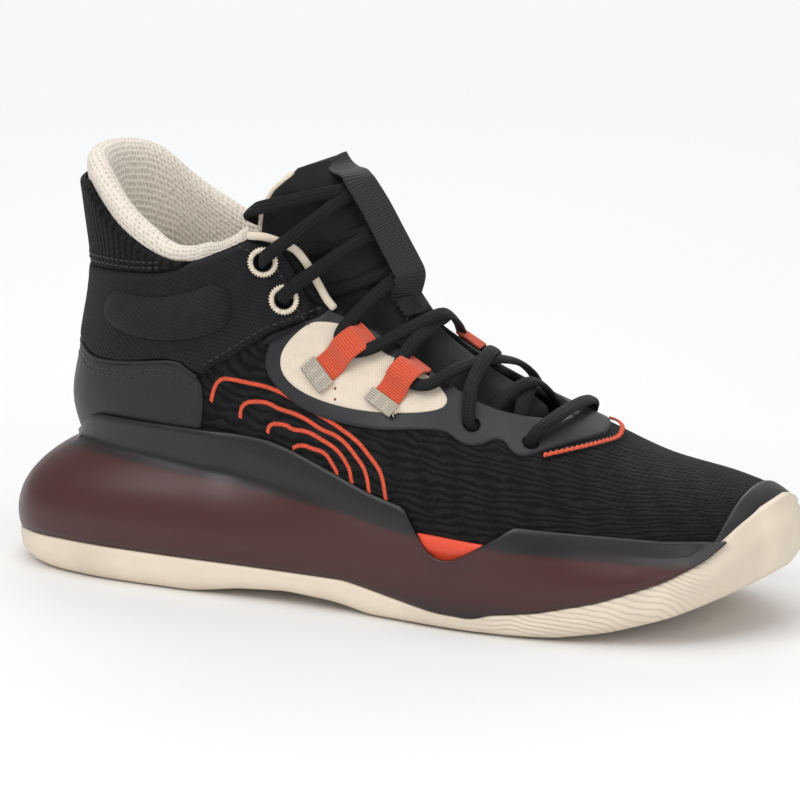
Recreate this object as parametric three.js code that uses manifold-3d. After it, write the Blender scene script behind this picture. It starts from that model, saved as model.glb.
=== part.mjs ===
// A right-foot basketball high top: cupsole, translucent cage, knitted upper, padded collar,
// tongue, laces and trims, each as its own closed solid.
// Millimetres. +X to the toe, +Y to the inner side of the foot, +Z up, ground at Z = 0.
// The upper is described on one smooth last. A point on the last is [station, girth]:
// station runs 0 at the toe to 14 at the top of the leg, and girth is 0 on the front ridge,
// 1 on the sole or heel line, negative on the outer side and positive on the inner side.
import * as THREE from "three";
import { mergeVertices } from "three/addons/utils/BufferGeometryUtils.js";
import Module from "manifold-3d";

const wasm = await Module();
wasm.setup();
const { Manifold, Mesh } = wasm;

// ---- driving dimensions ----
const ORIGIN_X = 45; // the frame's origin, under the heel, from the back of the upper
const LENGTH = 306; // outsole, heel to toe
const WIDTH_SCALE = 1; // across the whole shoe
const GAP = 0.3; // between pieces that touch
const KNIT = 1.2; // upper cloth
const FILM_THICK = 0.8; // heat-bonded overlay
const PANEL = 1.0; // light eyelet panel
const COLLAR_PAD = 2.1; // padded ankle panel
const POD = 3.0; // ankle pod above the collar panel
const COUNTER_SKIN = 1.3; // heel cover
const STIFFENER = 1.4; // hidden heel counter and toe puff
const FOAM = 5.2; // collar foam
const LINING = 1.0;
const SOLE_WALL = 3.2; // outsole side wall
const SOLE_FLOOR = 4.0; // outsole tread plate
const CAGE_WALL = 2.4;
const INSOLE = 4.4;
const LACE_WIDTH = 5.0;
const LACE_THICK = 2.4;
const EYELET_HOLE = 3.2; // radius
const EYELET_RIM = 0.75; // radius of the rim cord
const STRAP_WIDTH = 12.5;
const STRAP_THICK = 1.0;
const LOOP_WIDTH = 11;
const LOOP_THICK = 0.9;
const BINDING = 3.0;
const TONGUE_FACE = 1.2;
const TONGUE_FOAM = 4.2;
const GIRTH_STEPS = 18; // facets round the last
const STATION_STEPS = 16; // facets along it
const SOLE_STEPS = 2; // facets between two points of the sole outline

// ---- the last ----
// heel or sole point x, z; ridge point x, z; half width; centre y; height share of the widest
// place; how square the section is below and above it
const STATIONS = [
  [288, 34, 288, 36, 2, 10, 0.5, 2.0, 2.0],
  [282, 26, 281, 46, 25, 10, 0.38, 3.0, 2.0],
  [266, 22, 263, 52, 38, 8, 0.34, 3.4, 2.0],
  [238, 20, 236, 58, 46, 4, 0.3, 3.6, 2.0],
  [208, 20, 212, 68, 50, 0, 0.28, 3.6, 2.1],
  [176, 22, 190, 78, 49, -2, 0.28, 3.4, 2.0],
  [142, 25, 171, 88, 45, -3, 0.3, 3.2, 2.0],
  [104, 28, 156, 98, 41, -2, 0.34, 3.0, 2.0],
  [60, 30, 146, 108, 38, 0, 0.4, 2.8, 2.0],
  [24, 34, 139, 118, 37, 1, 0.44, 2.4, 2.0],
  [9, 57, 133, 128, 37, 1, 0.46, 2.3, 2.1],
  [13, 84, 127, 138, 37, 1, 0.48, 2.3, 2.2],
  [18, 110, 120, 148, 38, 1, 0.5, 2.3, 2.3],
  [16, 134, 113, 158, 38, 1, 0.5, 2.3, 2.3],
  [13, 156, 106, 168, 38, 1, 0.5, 2.3, 2.3],
];
const TOP = STATIONS.length - 1;
const lengthScale = LENGTH / 306;

const clamp = (v, lo, hi) => Math.min(hi, Math.max(lo, v));
const lerp = (a, b, t) => a + (b - a) * t;
const smooth = (v, a, b) => {
  const t = clamp((v - a) / (b - a), 0, 1);
  return t * t * (3 - 2 * t);
};

// Catmull-Rom through rows of numbers; t counts rows.
function rowAt(rows, t) {
  const last = rows.length - 1;
  if (t > last) return rows[last].map((v, c) => v + (t - last) * (v - rows[last - 1][c]));
  const i = Math.min(Math.floor(Math.max(t, 0)), last - 1);
  const f = Math.max(t, 0) - i;
  const at = (k) =>
    k < 0
      ? rows[0].map((v, c) => 2 * v - rows[1][c])
      : k > last
        ? rows[last].map((v, c) => 2 * v - rows[last - 1][c])
        : rows[k];
  const [a, b, c, d] = [at(i - 1), at(i), at(i + 1), at(i + 2)];
  return b.map(
    (v, k) =>
      0.5 *
      (2 * v +
        (c[k] - a[k]) * f +
        (2 * a[k] - 5 * v + 4 * c[k] - d[k]) * f * f +
        (3 * v - a[k] - 3 * c[k] + d[k]) * f ** 3),
  );
}

// Piecewise smooth height or width against one coordinate: pairs of [where, value].
function profile(pairs, at) {
  if (at <= pairs[0][0]) return pairs[0][1];
  for (let i = 1; i < pairs.length; i++)
    if (at <= pairs[i][0]) {
      const [a, b] = [pairs[i - 1], pairs[i]];
      return lerp(a[1], b[1], (at - a[0]) / (b[0] - a[0]));
    }
  return pairs.at(-1)[1];
}

function onLast(station, girthAsked) {
  const girth = Math.abs(girthAsked) > 1 ? girthAsked - 2 * Math.sign(girthAsked) : girthAsked;
  const [bx, bz, tx, tz, w, yc, mid, below, above] = rowAt(STATIONS, station);
  const angle = (1 - Math.abs(girth)) * Math.PI;
  const c = Math.cos(angle);
  const n = c > 0 ? below : above;
  const along = -Math.sign(c) * Math.abs(c) ** (2 / n);
  const share = mid + (along < 0 ? along * mid : along * (1 - mid));
  const out = Math.abs(Math.sin(angle)) ** (2 / n);
  return new THREE.Vector3(
    lerp(bx, tx, share) * lengthScale,
    (yc + Math.sign(girth || 1) * w * out) * WIDTH_SCALE,
    lerp(bz, tz, share),
  );
}

function lastNormal(station, girth) {
  const e = 0.02;
  const wrapped = Math.abs(girth) > 1 ? girth - 2 * Math.sign(girth) : girth;
  const g = clamp(Math.abs(wrapped), 0.004, 0.996) * Math.sign(wrapped || 1);
  const along = onLast(station + e, g).sub(onLast(Math.max(station - e, 0), g));
  const round = onLast(station, g + 0.003).sub(onLast(station, g - 0.003));
  const normal = round.cross(along).normalize();
  const centre = onLast(station, 0).add(onLast(station, 1)).multiplyScalar(0.5);
  return normal.dot(onLast(station, g).sub(centre)) < 0 ? normal.negate() : normal;
}

const offLast = (station, girth, off) =>
  onLast(station, girth).addScaledVector(lastNormal(station, girth), off);

// ---- solids ----
function geometryOf(points, triangles) {
  const g = new THREE.BufferGeometry().setFromPoints(points);
  g.setIndex(triangles);
  return g;
}

function solid(geometry) {
  const g = geometry.clone();
  for (const name of Object.keys(g.attributes)) if (name !== "position") g.deleteAttribute(name);
  const merged = mergeVertices(g, 1e-4);
  const triVerts = new Uint32Array(merged.index.array);
  const vertProperties = new Float32Array(merged.attributes.position.array);
  const made = new Manifold(new Mesh({ numProp: 3, vertProperties, triVerts }));
  if (made.volume() > 0) return made;
  for (let i = 0; i < triVerts.length; i += 3)
    [triVerts[i + 1], triVerts[i + 2]] = [triVerts[i + 2], triVerts[i + 1]];
  return new Manifold(new Mesh({ numProp: 3, vertProperties, triVerts }));
}

const biggest = (made) => made.decompose().reduce((a, b) => (a.volume() > b.volume() ? a : b));

// Triangles over a ring of points, turned the way the ring runs.
function capTriangles(ring) {
  const normal = new THREE.Vector3();
  ring.forEach((p, i) => {
    const q = ring[(i + 1) % ring.length];
    normal.x += (p.y - q.y) * (p.z + q.z);
    normal.y += (p.z - q.z) * (p.x + q.x);
    normal.z += (p.x - q.x) * (p.y + q.y);
  });
  normal.normalize();
  const helper = Math.abs(normal.z) < 0.9 ? new THREE.Vector3(0, 0, 1) : new THREE.Vector3(1, 0, 0);
  const across = new THREE.Vector3().crossVectors(helper, normal).normalize();
  const up = new THREE.Vector3().crossVectors(normal, across);
  const flat = ring.map((p) => new THREE.Vector2(p.dot(across), p.dot(up)));
  return THREE.ShapeUtils.triangulateShape(flat, []);
}

// A cap for a ring that is as long as a sole: rungs from side to side, so that it follows the
// ring's height along the shoe.
function rungTriangles(ring) {
  const n = ring.length;
  const triangles = [];
  for (let i = 0; i < n / 2; i++) {
    const [a, b, c, d] = [i, i + 1, n - i - 1, (n - i) % n];
    if (b !== c) triangles.push([a, b, c]);
    if (a !== d) triangles.push([a, c, d]);
  }
  return triangles;
}

// Rings of points, each with the same count, joined in order; the ends are capped.
function stack(rings, { loop = false, cap = capTriangles } = {}) {
  const n = rings[0].length;
  const points = rings.flat();
  const triangles = [];
  const count = loop ? rings.length : rings.length - 1;
  for (let r = 0; r < count; r++)
    for (let i = 0; i < n; i++) {
      const [a, b] = [r * n + i, r * n + ((i + 1) % n)];
      const [c, d] = [((r + 1) % rings.length) * n + i, ((r + 1) % rings.length) * n + ((i + 1) % n)];
      triangles.push(a, b, d, a, d, c);
    }
  if (!loop)
    for (const [ring, start, turn] of [[rings[0], 0, true], [rings.at(-1), (rings.length - 1) * n, false]])
      for (const [a, b, c] of cap(ring)) {
        triangles.push(...(turn ? [start + c, start + b, start + a] : [start + a, start + b, start + c]));
      }
  return solid(geometryOf(points, triangles));
}

// The whole last between two offsets, from one station to another: closed round the toe when
// it starts at station 0, open at the leg.
function shell(inner, outer, from = 0) {
  const first = Math.ceil((STATION_STEPS * from) / TOP);
  const rows = STATION_STEPS - first;
  const ring = (station, off) =>
    Array.from({ length: GIRTH_STEPS }, (_, i) => {
      const g = 1 - (2 * (i + 0.5)) / GIRTH_STEPS;
      return offLast(station, g, off);
    });
  const at = (r) => ((first + r) * TOP) / STATION_STEPS;
  const outside = Array.from({ length: rows + 1 }, (_, r) => ring(at(r), outer));
  const inside = Array.from({ length: rows + 1 }, (_, r) => ring(at(r), inner));
  if (from > 0) return stack([...outside, ...inside.reverse()], { loop: true });
  const points = [...outside.flat(), ...inside.flat()];
  const n = GIRTH_STEPS;
  const triangles = [];
  const grid = (base, turn) => {
    for (let r = 0; r < rows; r++)
      for (let i = 0; i < n; i++) {
        const [a, b] = [base + r * n + i, base + r * n + ((i + 1) % n)];
        const [c, d] = [a + n, b + n];
        triangles.push(...(turn ? [a, d, b, a, c, d] : [a, b, d, a, d, c]));
      }
  };
  const insideBase = (rows + 1) * n;
  grid(0, false);
  grid(insideBase, true);
  for (let i = 0; i < n; i++) {
    const j = (i + 1) % n;
    const [a, b] = [rows * n + i, rows * n + j];
    triangles.push(a, b, insideBase + b, a, insideBase + b, insideBase + a);
  }
  for (const [base, turn] of [[0, false], [insideBase, true]]) {
    const middle = new THREE.Vector3();
    points.slice(base, base + n).forEach((p) => middle.addScaledVector(p, 1 / n));
    const tip = points.push(middle) - 1;
    for (let i = 0; i < n; i++) {
      const [a, b] = [base + i, base + ((i + 1) % n)];
      triangles.push(...(turn ? [tip, a, b] : [tip, b, a]));
    }
  }
  return solid(geometryOf(points, triangles));
}

// A smooth closed outline through [station, girth] points; sharp = true keeps straight sides.
function smoothOutline(points, steps = 3, sharp = false) {
  const n = points.length;
  const out = [];
  for (let i = 0; i < n; i++)
    for (let k = 0; k < steps; k++) {
      const rows = [-1, 0, 1, 2].map((d) => points[(i + d + n) % n]);
      const t = k / steps;
      const straight = rows[1].map((v, c) => lerp(v, rows[2][c], t));
      out.push(sharp ? straight : rowAt(rows, 1 + t));
    }
  return out;
}

// A cutter through the upper: an outline on the last, swept from deep inside to well outside.
function cutter(outline, side, { deep = -16, high = 24, steps = 3, sharp = false } = {}) {
  const flat = smoothOutline(outline, steps, sharp);
  const poly = flat.map(([s, g]) => new THREE.Vector2(s, g));
  if (THREE.ShapeUtils.area(poly) < 0) {
    flat.reverse();
    poly.reverse();
  }
  const n = flat.length;
  const place = (off) => flat.map(([s, g]) => offLast(s, g * side, off));
  const points = [...place(deep), ...place(high)];
  const triangles = [];
  for (const [a, b, c] of THREE.ShapeUtils.triangulateShape(poly, []))
    triangles.push(a, c, b, n + a, n + b, n + c);
  for (let i = 0; i < n; i++) {
    const j = (i + 1) % n;
    triangles.push(i, j, n + j, i, n + j, n + i);
  }
  return solid(geometryOf(points, triangles));
}

// A sheet over the ridge, symmetric about it: half girth against station, offset by girth.
function saddle(from, to, rows, columns, half, low, high) {
  const at = (r) => lerp(from, to, r / rows);
  const line = (r, off, turn) => {
    const out = Array.from({ length: columns + 1 }, (_, c) => {
      const share = (2 * c) / columns - 1;
      const g = share * half(at(r));
      const side = Math.abs(g) < 1e-6 ? 1e-6 : g;
      return offLast(at(r), side, off(at(r), share));
    });
    return turn ? out.reverse() : out;
  };
  const ring = (r) => [...line(r, low, false), ...line(r, high, true)];
  const rings = Array.from({ length: rows + 1 }, (_, r) => ring(r));
  const n = rings[0].length;
  const triangles = [];
  for (let r = 0; r < rows; r++)
    for (let i = 0; i < n; i++) {
      const [a, b] = [r * n + i, r * n + ((i + 1) % n)];
      const low = i <= columns;
      triangles.push(...(low ? [a, b, b + n, a, b + n, a + n] : [a, b, a + n, b, b + n, a + n]));
    }
  for (const [start, turn] of [[0, true], [rows * n, false]])
    for (let c = 0; c < columns; c++) {
      const q = [start + c, start + c + 1, start + n - 2 - c, start + n - 1 - c];
      const order = turn ? [0, 2, 1, 0, 3, 2] : [0, 1, 2, 0, 2, 3];
      triangles.push(...order.map((k) => q[k]));
    }
  return solid(geometryOf(rings.flat(), triangles));
}

// A ribbon with a rounded section along points, each with the direction of its flat side.
function ribbon(points, sides, width, thick, corners = 8) {
  const section = Array.from({ length: corners }, (_, k) => {
    const a = (2 * Math.PI * (k + 0.5)) / corners;
    const grow = 1 / Math.cos(Math.PI / corners);
    return [clamp(Math.cos(a) * grow, -1, 1) * 0.5 * width, clamp(Math.sin(a) * grow, -1, 1) * 0.5 * thick];
  });
  const last = points.length - 1;
  const rings = points.map((p, i) => {
    const along = points[Math.min(i + 1, last)].clone().sub(points[Math.max(i - 1, 0)]).normalize();
    const side = sides[i].clone().addScaledVector(along, -sides[i].dot(along)).normalize();
    const up = new THREE.Vector3().crossVectors(along, side);
    return section.map(([a, b]) => p.clone().addScaledVector(side, a).addScaledVector(up, b));
  });
  const triangles = [];
  for (let r = 0; r < last; r++)
    for (let i = 0; i < corners; i++) {
      const [a, b] = [r * corners + i, r * corners + ((i + 1) % corners)];
      triangles.push(a, b, b + corners, a, b + corners, a + corners);
    }
  for (let k = 1; k < corners - 1; k++) {
    triangles.push(0, k + 1, k);
    triangles.push(last * corners, last * corners + k, last * corners + k + 1);
  }
  return solid(geometryOf(rings.flat(), triangles));
}

// ---- the sole ----
// widest outline of the sole unit, x and y, from the toe round the inner side to the heel
const SOLE_OUTLINE = [
  [294, 10], [288, 29], [271, 45], [246, 53], [215, 54], [180, 49], [145, 43], [105, 41],
  [65, 43], [30, 45], [5, 39], [-10, 23], [-15, 0], [-10, -24], [5, -41], [30, -48],
  [65, -50], [105, -50], [145, -51], [180, -54], [215, -54], [245, -48], [271, -36], [288, -13],
];
// heights against x: tread, outsole edge, cage edge, top of the foam where it shows, last floor
const TREAD = [[-15, 10], [-8, 4.5], [0, 1.4], [9, 0], [76, 0], [95, 3], [115, 4.5], [135, 3], [150, 0],
  [205, 0], [222, 0.9], [240, 4], [260, 9.6], [277, 16.6], [294, 24]];
const EDGE = [[-15, 10.5], [0, 13.5], [20, 14], [140, 13], [161, 9], [177, 6.2], [192, 5.6], [199, 8],
  [216, 10.5], [239, 16], [261, 24], [274, 31], [284, 41], [294, 47]];
const CAGE = [[-15, 46], [3, 49], [17, 55], [31, 64], [46, 73], [55, 76.5], [63, 77], [72, 75], [93, 65],
  [120, 56], [150, 46], [163, 43], [201, 40.5], [217, 39.5], [240, 38], [262, 36.5], [274, 37], [294, 50]];
const FOAM_TOP = [[-15, 43], [3, 45], [22, 47], [50, 45.5], [100, 42], [142, 38], [165, 32.5],
  [180, 31.5], [200, 31], [246, 30.5], [262, 29.5], [294, 29]];
const FLOOR = [[0, 42], [9, 36], [24, 32.5], [60, 30], [104, 28], [142, 25], [176, 22], [208, 20],
  [238, 20], [266, 22], [282, 26], [294, 30]];
const TREAD_INSET = 9; // the tread starts this far inside the widest outline
const OUTWARD = 1; // the outline runs from the toe along the inner side
const CAGE_FRONT = 276; // the cage arms end here, against the toe bumper

const shoeX = (x) => x / lengthScale;
function solePoint(k) {
  const n = SOLE_OUTLINE.length;
  const i = Math.floor(k) % n;
  const rows = [-1, 0, 1, 2].map((d) => SOLE_OUTLINE[(i + d + n) % n]);
  const [x, y] = rowAt(rows, 1 + (k - Math.floor(k)));
  return new THREE.Vector2(x * lengthScale, y * WIDTH_SCALE);
}
const SOLE = Array.from({ length: SOLE_OUTLINE.length * SOLE_STEPS }, (_, i) => {
  const k = i / SOLE_STEPS + SOLE_OUTLINE.length;
  const p = solePoint(k);
  const t = solePoint(k + 0.05).sub(solePoint(k - 0.05)).normalize();
  const x = shoeX(p.x);
  const edge = profile(EDGE, x);
  const foam = Math.max(profile(FOAM_TOP, x), edge + 1);
  const out = new THREE.Vector2(t.y, -t.x).multiplyScalar(OUTWARD);
  return {
    p,
    out,
    x,
    edge,
    foam,
    core: profile(FOAM_TOP, x),
    tread: profile(TREAD, shoeX(p.x) - TREAD_INSET * out.x),
    cage: Math.max(profile(CAGE, x), foam + 5),
    stand: lerp(GAP + COUNTER_SKIN, 0, smooth(x, 80, 94)),
    toe: smooth(x, 250, 268),
    heel: 1 - smooth(x, -10, 40),
  };
});

// Where a level line from the sole outline, straight inwards, meets the last at height z.
function hug(s, z) {
  const aside = new THREE.Vector2(-s.out.y, s.out.x);
  const error = (a, b) => {
    const q = onLast(a, b);
    return [new THREE.Vector2(q.x, q.y).sub(s.p).dot(aside), q.z - z];
  };
  let best = [1e9, 6, 0.5];
  for (let a = 0.05; a < 12; a += 0.25)
    for (let b = -0.98; b < 1; b += 0.07) {
      const q = onLast(a, b);
      const inside = -new THREE.Vector2(q.x, q.y).sub(s.p).dot(s.out);
      const [e0, e1] = error(a, b);
      const score = Math.abs(e0) + Math.abs(e1) + 0.05 * inside;
      if (inside < 60 && inside > -12 && score < best[0]) best = [score, a, b];
    }
  let [, a, b] = best;
  for (let i = 0; i < 14; i++) {
    const [e0, e1] = error(a, b);
    const h = 1e-3;
    const [a0, a1] = error(a + h, b).map((v, k) => (v - [e0, e1][k]) / h);
    const [b0, b1] = error(a, b + h).map((v, k) => (v - [e0, e1][k]) / h);
    const det = a0 * b1 - b0 * a1;
    if (Math.abs(det) < 1e-9) break;
    a = clamp(a - clamp((e0 * b1 - e1 * b0) / det, -0.4, 0.4), 0.02, TOP);
    b = clamp(b - clamp((e1 * a0 - e0 * a1) / det, -0.05, 0.05), -0.999, 0.999);
  }
  return onLast(a, b);
}

const level = (s, inset, z) => new THREE.Vector3(s.p.x - s.out.x * inset, s.p.y - s.out.y * inset, z);
const shift = (s, p, d) => new THREE.Vector3(p.x + s.out.x * d, p.y + s.out.y * d, p.z);
for (const s of SOLE) {
  s.hugAbove = hug(s, s.foam + 2.5);
  s.hugMiddle = hug(s, (s.foam + 2.5 + s.cage) / 2);
  s.hugTop = hug(s, s.cage);
  s.hugEdge = hug(s, Math.min(s.edge, 44));
}
// side of the cage from the outsole edge up to where it lies on the upper
const lipInset = (s) => lerp(1.6, 2.2, s.toe);
function cageSide(s, share) {
  const rise = s.foam - s.edge;
  const low = level(s, lipInset(s), s.edge + GAP);
  const c1 = level(s, lerp(-1.2, 1.5, s.toe), s.edge + 0.3 * rise);
  const c2 = level(s, lerp(1.2, 2.0, s.toe), s.edge + 0.75 * rise);
  const high = shift(s, s.hugAbove, CAGE_WALL + s.stand);
  return new THREE.CubicBezierCurve3(low, c1, c2, high).getPoint(share);
}
const treadInset = (s) => lerp(lerp(7, 10, s.heel), 8, s.toe);
const plateZ = (s) => s.tread + SOLE_FLOOR;
const cupZ = (s) => Math.min(Math.max(lerp(s.tread, s.edge, 0.55), plateZ(s) + 0.5), s.edge - 0.8);
const lipWall = (s) => lipInset(s) + SOLE_WALL;

// Solid last, grown by off: used to cut the seat of the upper.
function lastSolid(off) {
  const n = GIRTH_STEPS;
  const rows = STATION_STEPS;
  const rings = Array.from({ length: rows + 1 }, (_, r) =>
    Array.from({ length: n }, (_, i) => offLast((TOP * r) / rows, 1 - (2 * (i + 0.5)) / n, off)),
  );
  return stack(rings);
}

function makeOutsole(seat) {
  const onToe = (s) => {
    const p = shift(s, s.hugEdge, 3.2);
    p.z = s.edge;
    return p;
  };
  const wrap = (s) => smooth(s.x, 268, 284);
  const rim = (s) => level(s, lipInset(s), s.edge).lerp(onToe(s), wrap(s));
  const rings = [
    SOLE.map((s) => level(s, treadInset(s), s.tread)),
    SOLE.map((s) => level(s, treadInset(s) * 0.4, lerp(s.tread, s.edge, 0.22))),
    SOLE.map((s) => level(s, lerp(1.8, 0.2, s.toe), lerp(s.tread, s.edge, 0.6))),
    SOLE.map(rim),
    SOLE.map((s) => shift(s, rim(s), -SOLE_WALL)),
    SOLE.map((s) => level(s, lipWall(s) + 1, cupZ(s))),
    SOLE.map((s) => level(s, lipWall(s) + 4, plateZ(s))),
  ];
  return biggest(stack(rings, { cap: rungTriangles }).subtract(seat));
}

const CAGE_SHARES = [0, 0.2, 0.42, 0.64, 0.86, 1];
function makeCage(seat) {
  const arms = SOLE.filter((s) => s.x <= CAGE_FRONT);
  const start = arms.findIndex((s, i) => i > 0 && SOLE.indexOf(s) !== SOLE.indexOf(arms[i - 1]) + 1);
  const order = start > 0 ? [...arms.slice(start), ...arms.slice(0, start)] : arms;
  const rings = order.map((s) => [
    ...CAGE_SHARES.map((t) => cageSide(s, t)),
    shift(s, s.hugMiddle, CAGE_WALL * 0.85 + s.stand),
    shift(s, s.hugTop, CAGE_WALL * 0.7 + s.stand),
    shift(s, s.hugTop, -1.5),
    shift(s, s.hugMiddle, -3),
    ...CAGE_SHARES.map((t) => shift(s, cageSide(s, t), t > 0.8 ? -4 : -CAGE_WALL)).reverse(),
  ]);
  return biggest(stack(rings).subtract(seat));
}

function makeFoam(seat) {
  const inner = (s, t) => shift(s, cageSide(s, t), -CAGE_WALL - 2 * GAP);
  const toeWall = (s, z) => level(s, lipWall(s) + 1.8, z);
  const toeZ = (s, t) => lerp(cupZ(s) + 2 * GAP, Math.max(s.core, cupZ(s) + 2), t);
  const side = (s, t) => inner(s, t).lerp(toeWall(s, toeZ(s, t)), s.toe);
  const rings = [
    SOLE.map((s) => level(s, lipWall(s) + 5.4, plateZ(s) + GAP)),
    SOLE.map((s) => level(s, lipWall(s) + 2.4, cupZ(s) + GAP * 2)),
    SOLE.map((s) => level(s, lipWall(s) + lerp(0.9, 1.8, s.toe), lerp(s.edge + GAP, toeZ(s, 0.1), s.toe))),
    ...CAGE_SHARES.slice(1, 4).map((t) => SOLE.map((s) => side(s, t))),
    SOLE.map((s) => {
      const top = shift(s, s.hugAbove, -6).lerp(toeWall(s, 0), s.toe);
      top.z = lerp(s.foam, toeZ(s, 1), s.toe);
      return top;
    }),
  ];
  return biggest(stack(rings, { cap: rungTriangles }).subtract(seat)
    .trimByPlane([-1, 0, 0], -283 * lengthScale));
}

// ---- cutters seen from the side ----
// A prism across the shoe from a side outline of x, z points.
function sideCut(outline, { from = -90, to = 90, steps = 3, sharp = false } = {}) {
  const flat = smoothOutline(outline, steps, sharp).map(([x, z]) => new THREE.Vector2(x * lengthScale, z));
  const prism = new THREE.ExtrudeGeometry(new THREE.Shape(flat), { depth: to - from, bevelEnabled: false });
  prism.rotateX(Math.PI / 2);
  prism.translate(0, to, 0);
  return solid(prism);
}
// A prism upwards from the sole outline, drawn in by inset, up to height(x).
function planCut(inset, height, from = -300, to = 400) {
  const rim = SOLE.map((s) => level(s, inset, -5));
  const top = rim.map((p) => new THREE.Vector3(p.x, p.y, height(shoeX(p.x))));
  return stack([rim, top], { cap: rungTriangles }).trimByPlane([1, 0, 0], from)
    .trimByPlane([-1, 0, 0], -to);
}
const both = (make) => make(-1).add(make(1));
const OUTER = -1;
const INNER = 1;
const sideName = (side) => (side === OUTER ? "lateral" : "medial");

// ---- outlines ----
const TOP_LINE = [[-40, 148], [10, 147.5], [24, 146], [32, 139.5], [41, 132], [52, 126], [62, 122.5],
  [73, 122],
  [85, 126.5], [96, 131.5], [102, 136]];
// half girth of the tongue opening at each station: cloth edge under the trims
const THROAT = [[4.15, 0], [4.3, 0.05], [4.7, 0.1], [5.2, 0.13], [6, 0.135], [7, 0.145], [8, 0.175],
  [8.9, 0.215],
  [9.4, 0.225], [10.1, 0.23], [10.8, 0.25], [11.3, 0.29], [11.6, 0.33], [12.2, 0.35], [15, 0.36]];
const throatCut = (extra, bindingExtra = extra) =>
  both((side) => {
    const edge = THROAT.map(([s, g]) => [s, g + 0.008 * (s > 8.7 && s < 11.7 ? bindingExtra : extra)]);
    return cutter([[15, -0.04], [4.15 - 0.07 * extra, -0.04], ...edge], side, { steps: 1, sharp: true });
  });
const topCut = (drop) => {
  const line = TOP_LINE.map(([x, z]) => [x, z - drop]);
  return sideCut([...line, [102, 230], [-40, 230]], { sharp: true, steps: 1 });
};
// mirrored pair of regions that meet over the ridge
const FILM_EDGE = [[9.05, 0.27], [9.15, 0.31], [9.2, 0.34], [9.0, 0.36], [8.7, 0.38], [8.2, 0.395],
  [7.6, 0.398],
  [7.0, 0.38], [6.4, 0.345], [5.85, 0.295], [5.5, 0.268], [5.25, 0.272], [5.05, 0.268], [4.88, 0.245],
  [4.78, 0.22], [4.65, 0.214], [4.5, 0.23], [4.32, 0.232], [4.12, 0.195], [3.92, 0.14], [3.72, 0.07],
    [3.62, 0],
  [3.62, -0.03]];
const filmInside = THROAT.filter(([s]) => s < 9).map(([s, g]) => [s - (g ? 0 : 0.07), g + 0.012]);
const FILM = [...FILM_EDGE, [4.08, -0.03], ...filmInside];
const PANEL_EDGE = [[8.95, 0.265], [8.98, 0.3], [8.8, 0.34], [8.45, 0.366], [8.05, 0.376], [7.6, 0.37],
  [7.1, 0.35],
  [6.65, 0.322], [6.25, 0.288], [5.9, 0.25], [5.72, 0.215], [5.78, 0.185], [6.1, 0.168], [6.5, 0.166],
  [6.9, 0.18], [7.25, 0.195], [7.65, 0.2], [8.1, 0.212], [8.55, 0.23]];
const grow = (outline, d) => {
  const centre = outline.reduce(([a, b], [s, g]) => [a + s / outline.length, b + g / outline.length],
    [0, 0]);
  return outline.map(([s, g]) => {
    const [x, y] = [(s - centre[0]) * 10, (g - centre[1]) * 125];
    const r = Math.hypot(x, y);
    return [centre[0] + (x * (1 + d / r)) / 10, centre[1] + (y * (1 + d / r)) / 125];
  });
};
const SEAM = [[77, 80.5], [82, 84], [88, 88], [99, 95], [110, 99.5], [120, 103.5], [128, 106]];
const COUNTER_TOP = [[-40, 90], [6, 88], [19, 84.5], [29, 81.5], [44, 82], [59, 84], [66, 84], [71, 82],
  [75, 79.8]];
const TAB_LOW = [[-40, 115], [20, 115], [34, 115.5], [47, 116], [60, 117], [67, 119], [74, 122.5]];
const POD_OUTLINE = [[41, 108], [53, 108], [66, 109], [76, 112], [82, 115], [87.5, 112], [89, 106],
  [87, 100],
  [80, 96], [70, 93.5], [58, 92], [46, 93], [39, 95.5], [36.5, 101.5]];
const TOE_GUARD = [[1.42, -0.03], [1.38, 0.1], [1.22, 0.24], [1.05, 0.38], [0.95, 0.5], [0.3, 0.5],
  [0.3, -0.03]];
const EYELETS = { toe: [4.3, 0.182], second: [5.2, 0.215], ankle: [9.8, 0.298], top: [10.9, 0.328] };
// A rod of the given radius and length, centred at a point and set along a direction.
function rod(radius, length, centre, direction, corners = 8) {
  const g = new THREE.CylinderGeometry(radius, radius, length, corners);
  g.applyQuaternion(new THREE.Quaternion().setFromUnitVectors(new THREE.Vector3(0, 1, 0), direction));
  g.translate(centre.x, centre.y, centre.z);
  return solid(g);
}
const hole = ([s, g], side, radius) => rod(radius, 26, offLast(s, g * side, 0), lastNormal(s, g * side));
const holes = both((side) =>
  Object.values(EYELETS).map((e) => hole(e, side, EYELET_HOLE)).reduce((a, b) => a.add(b)));

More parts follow.
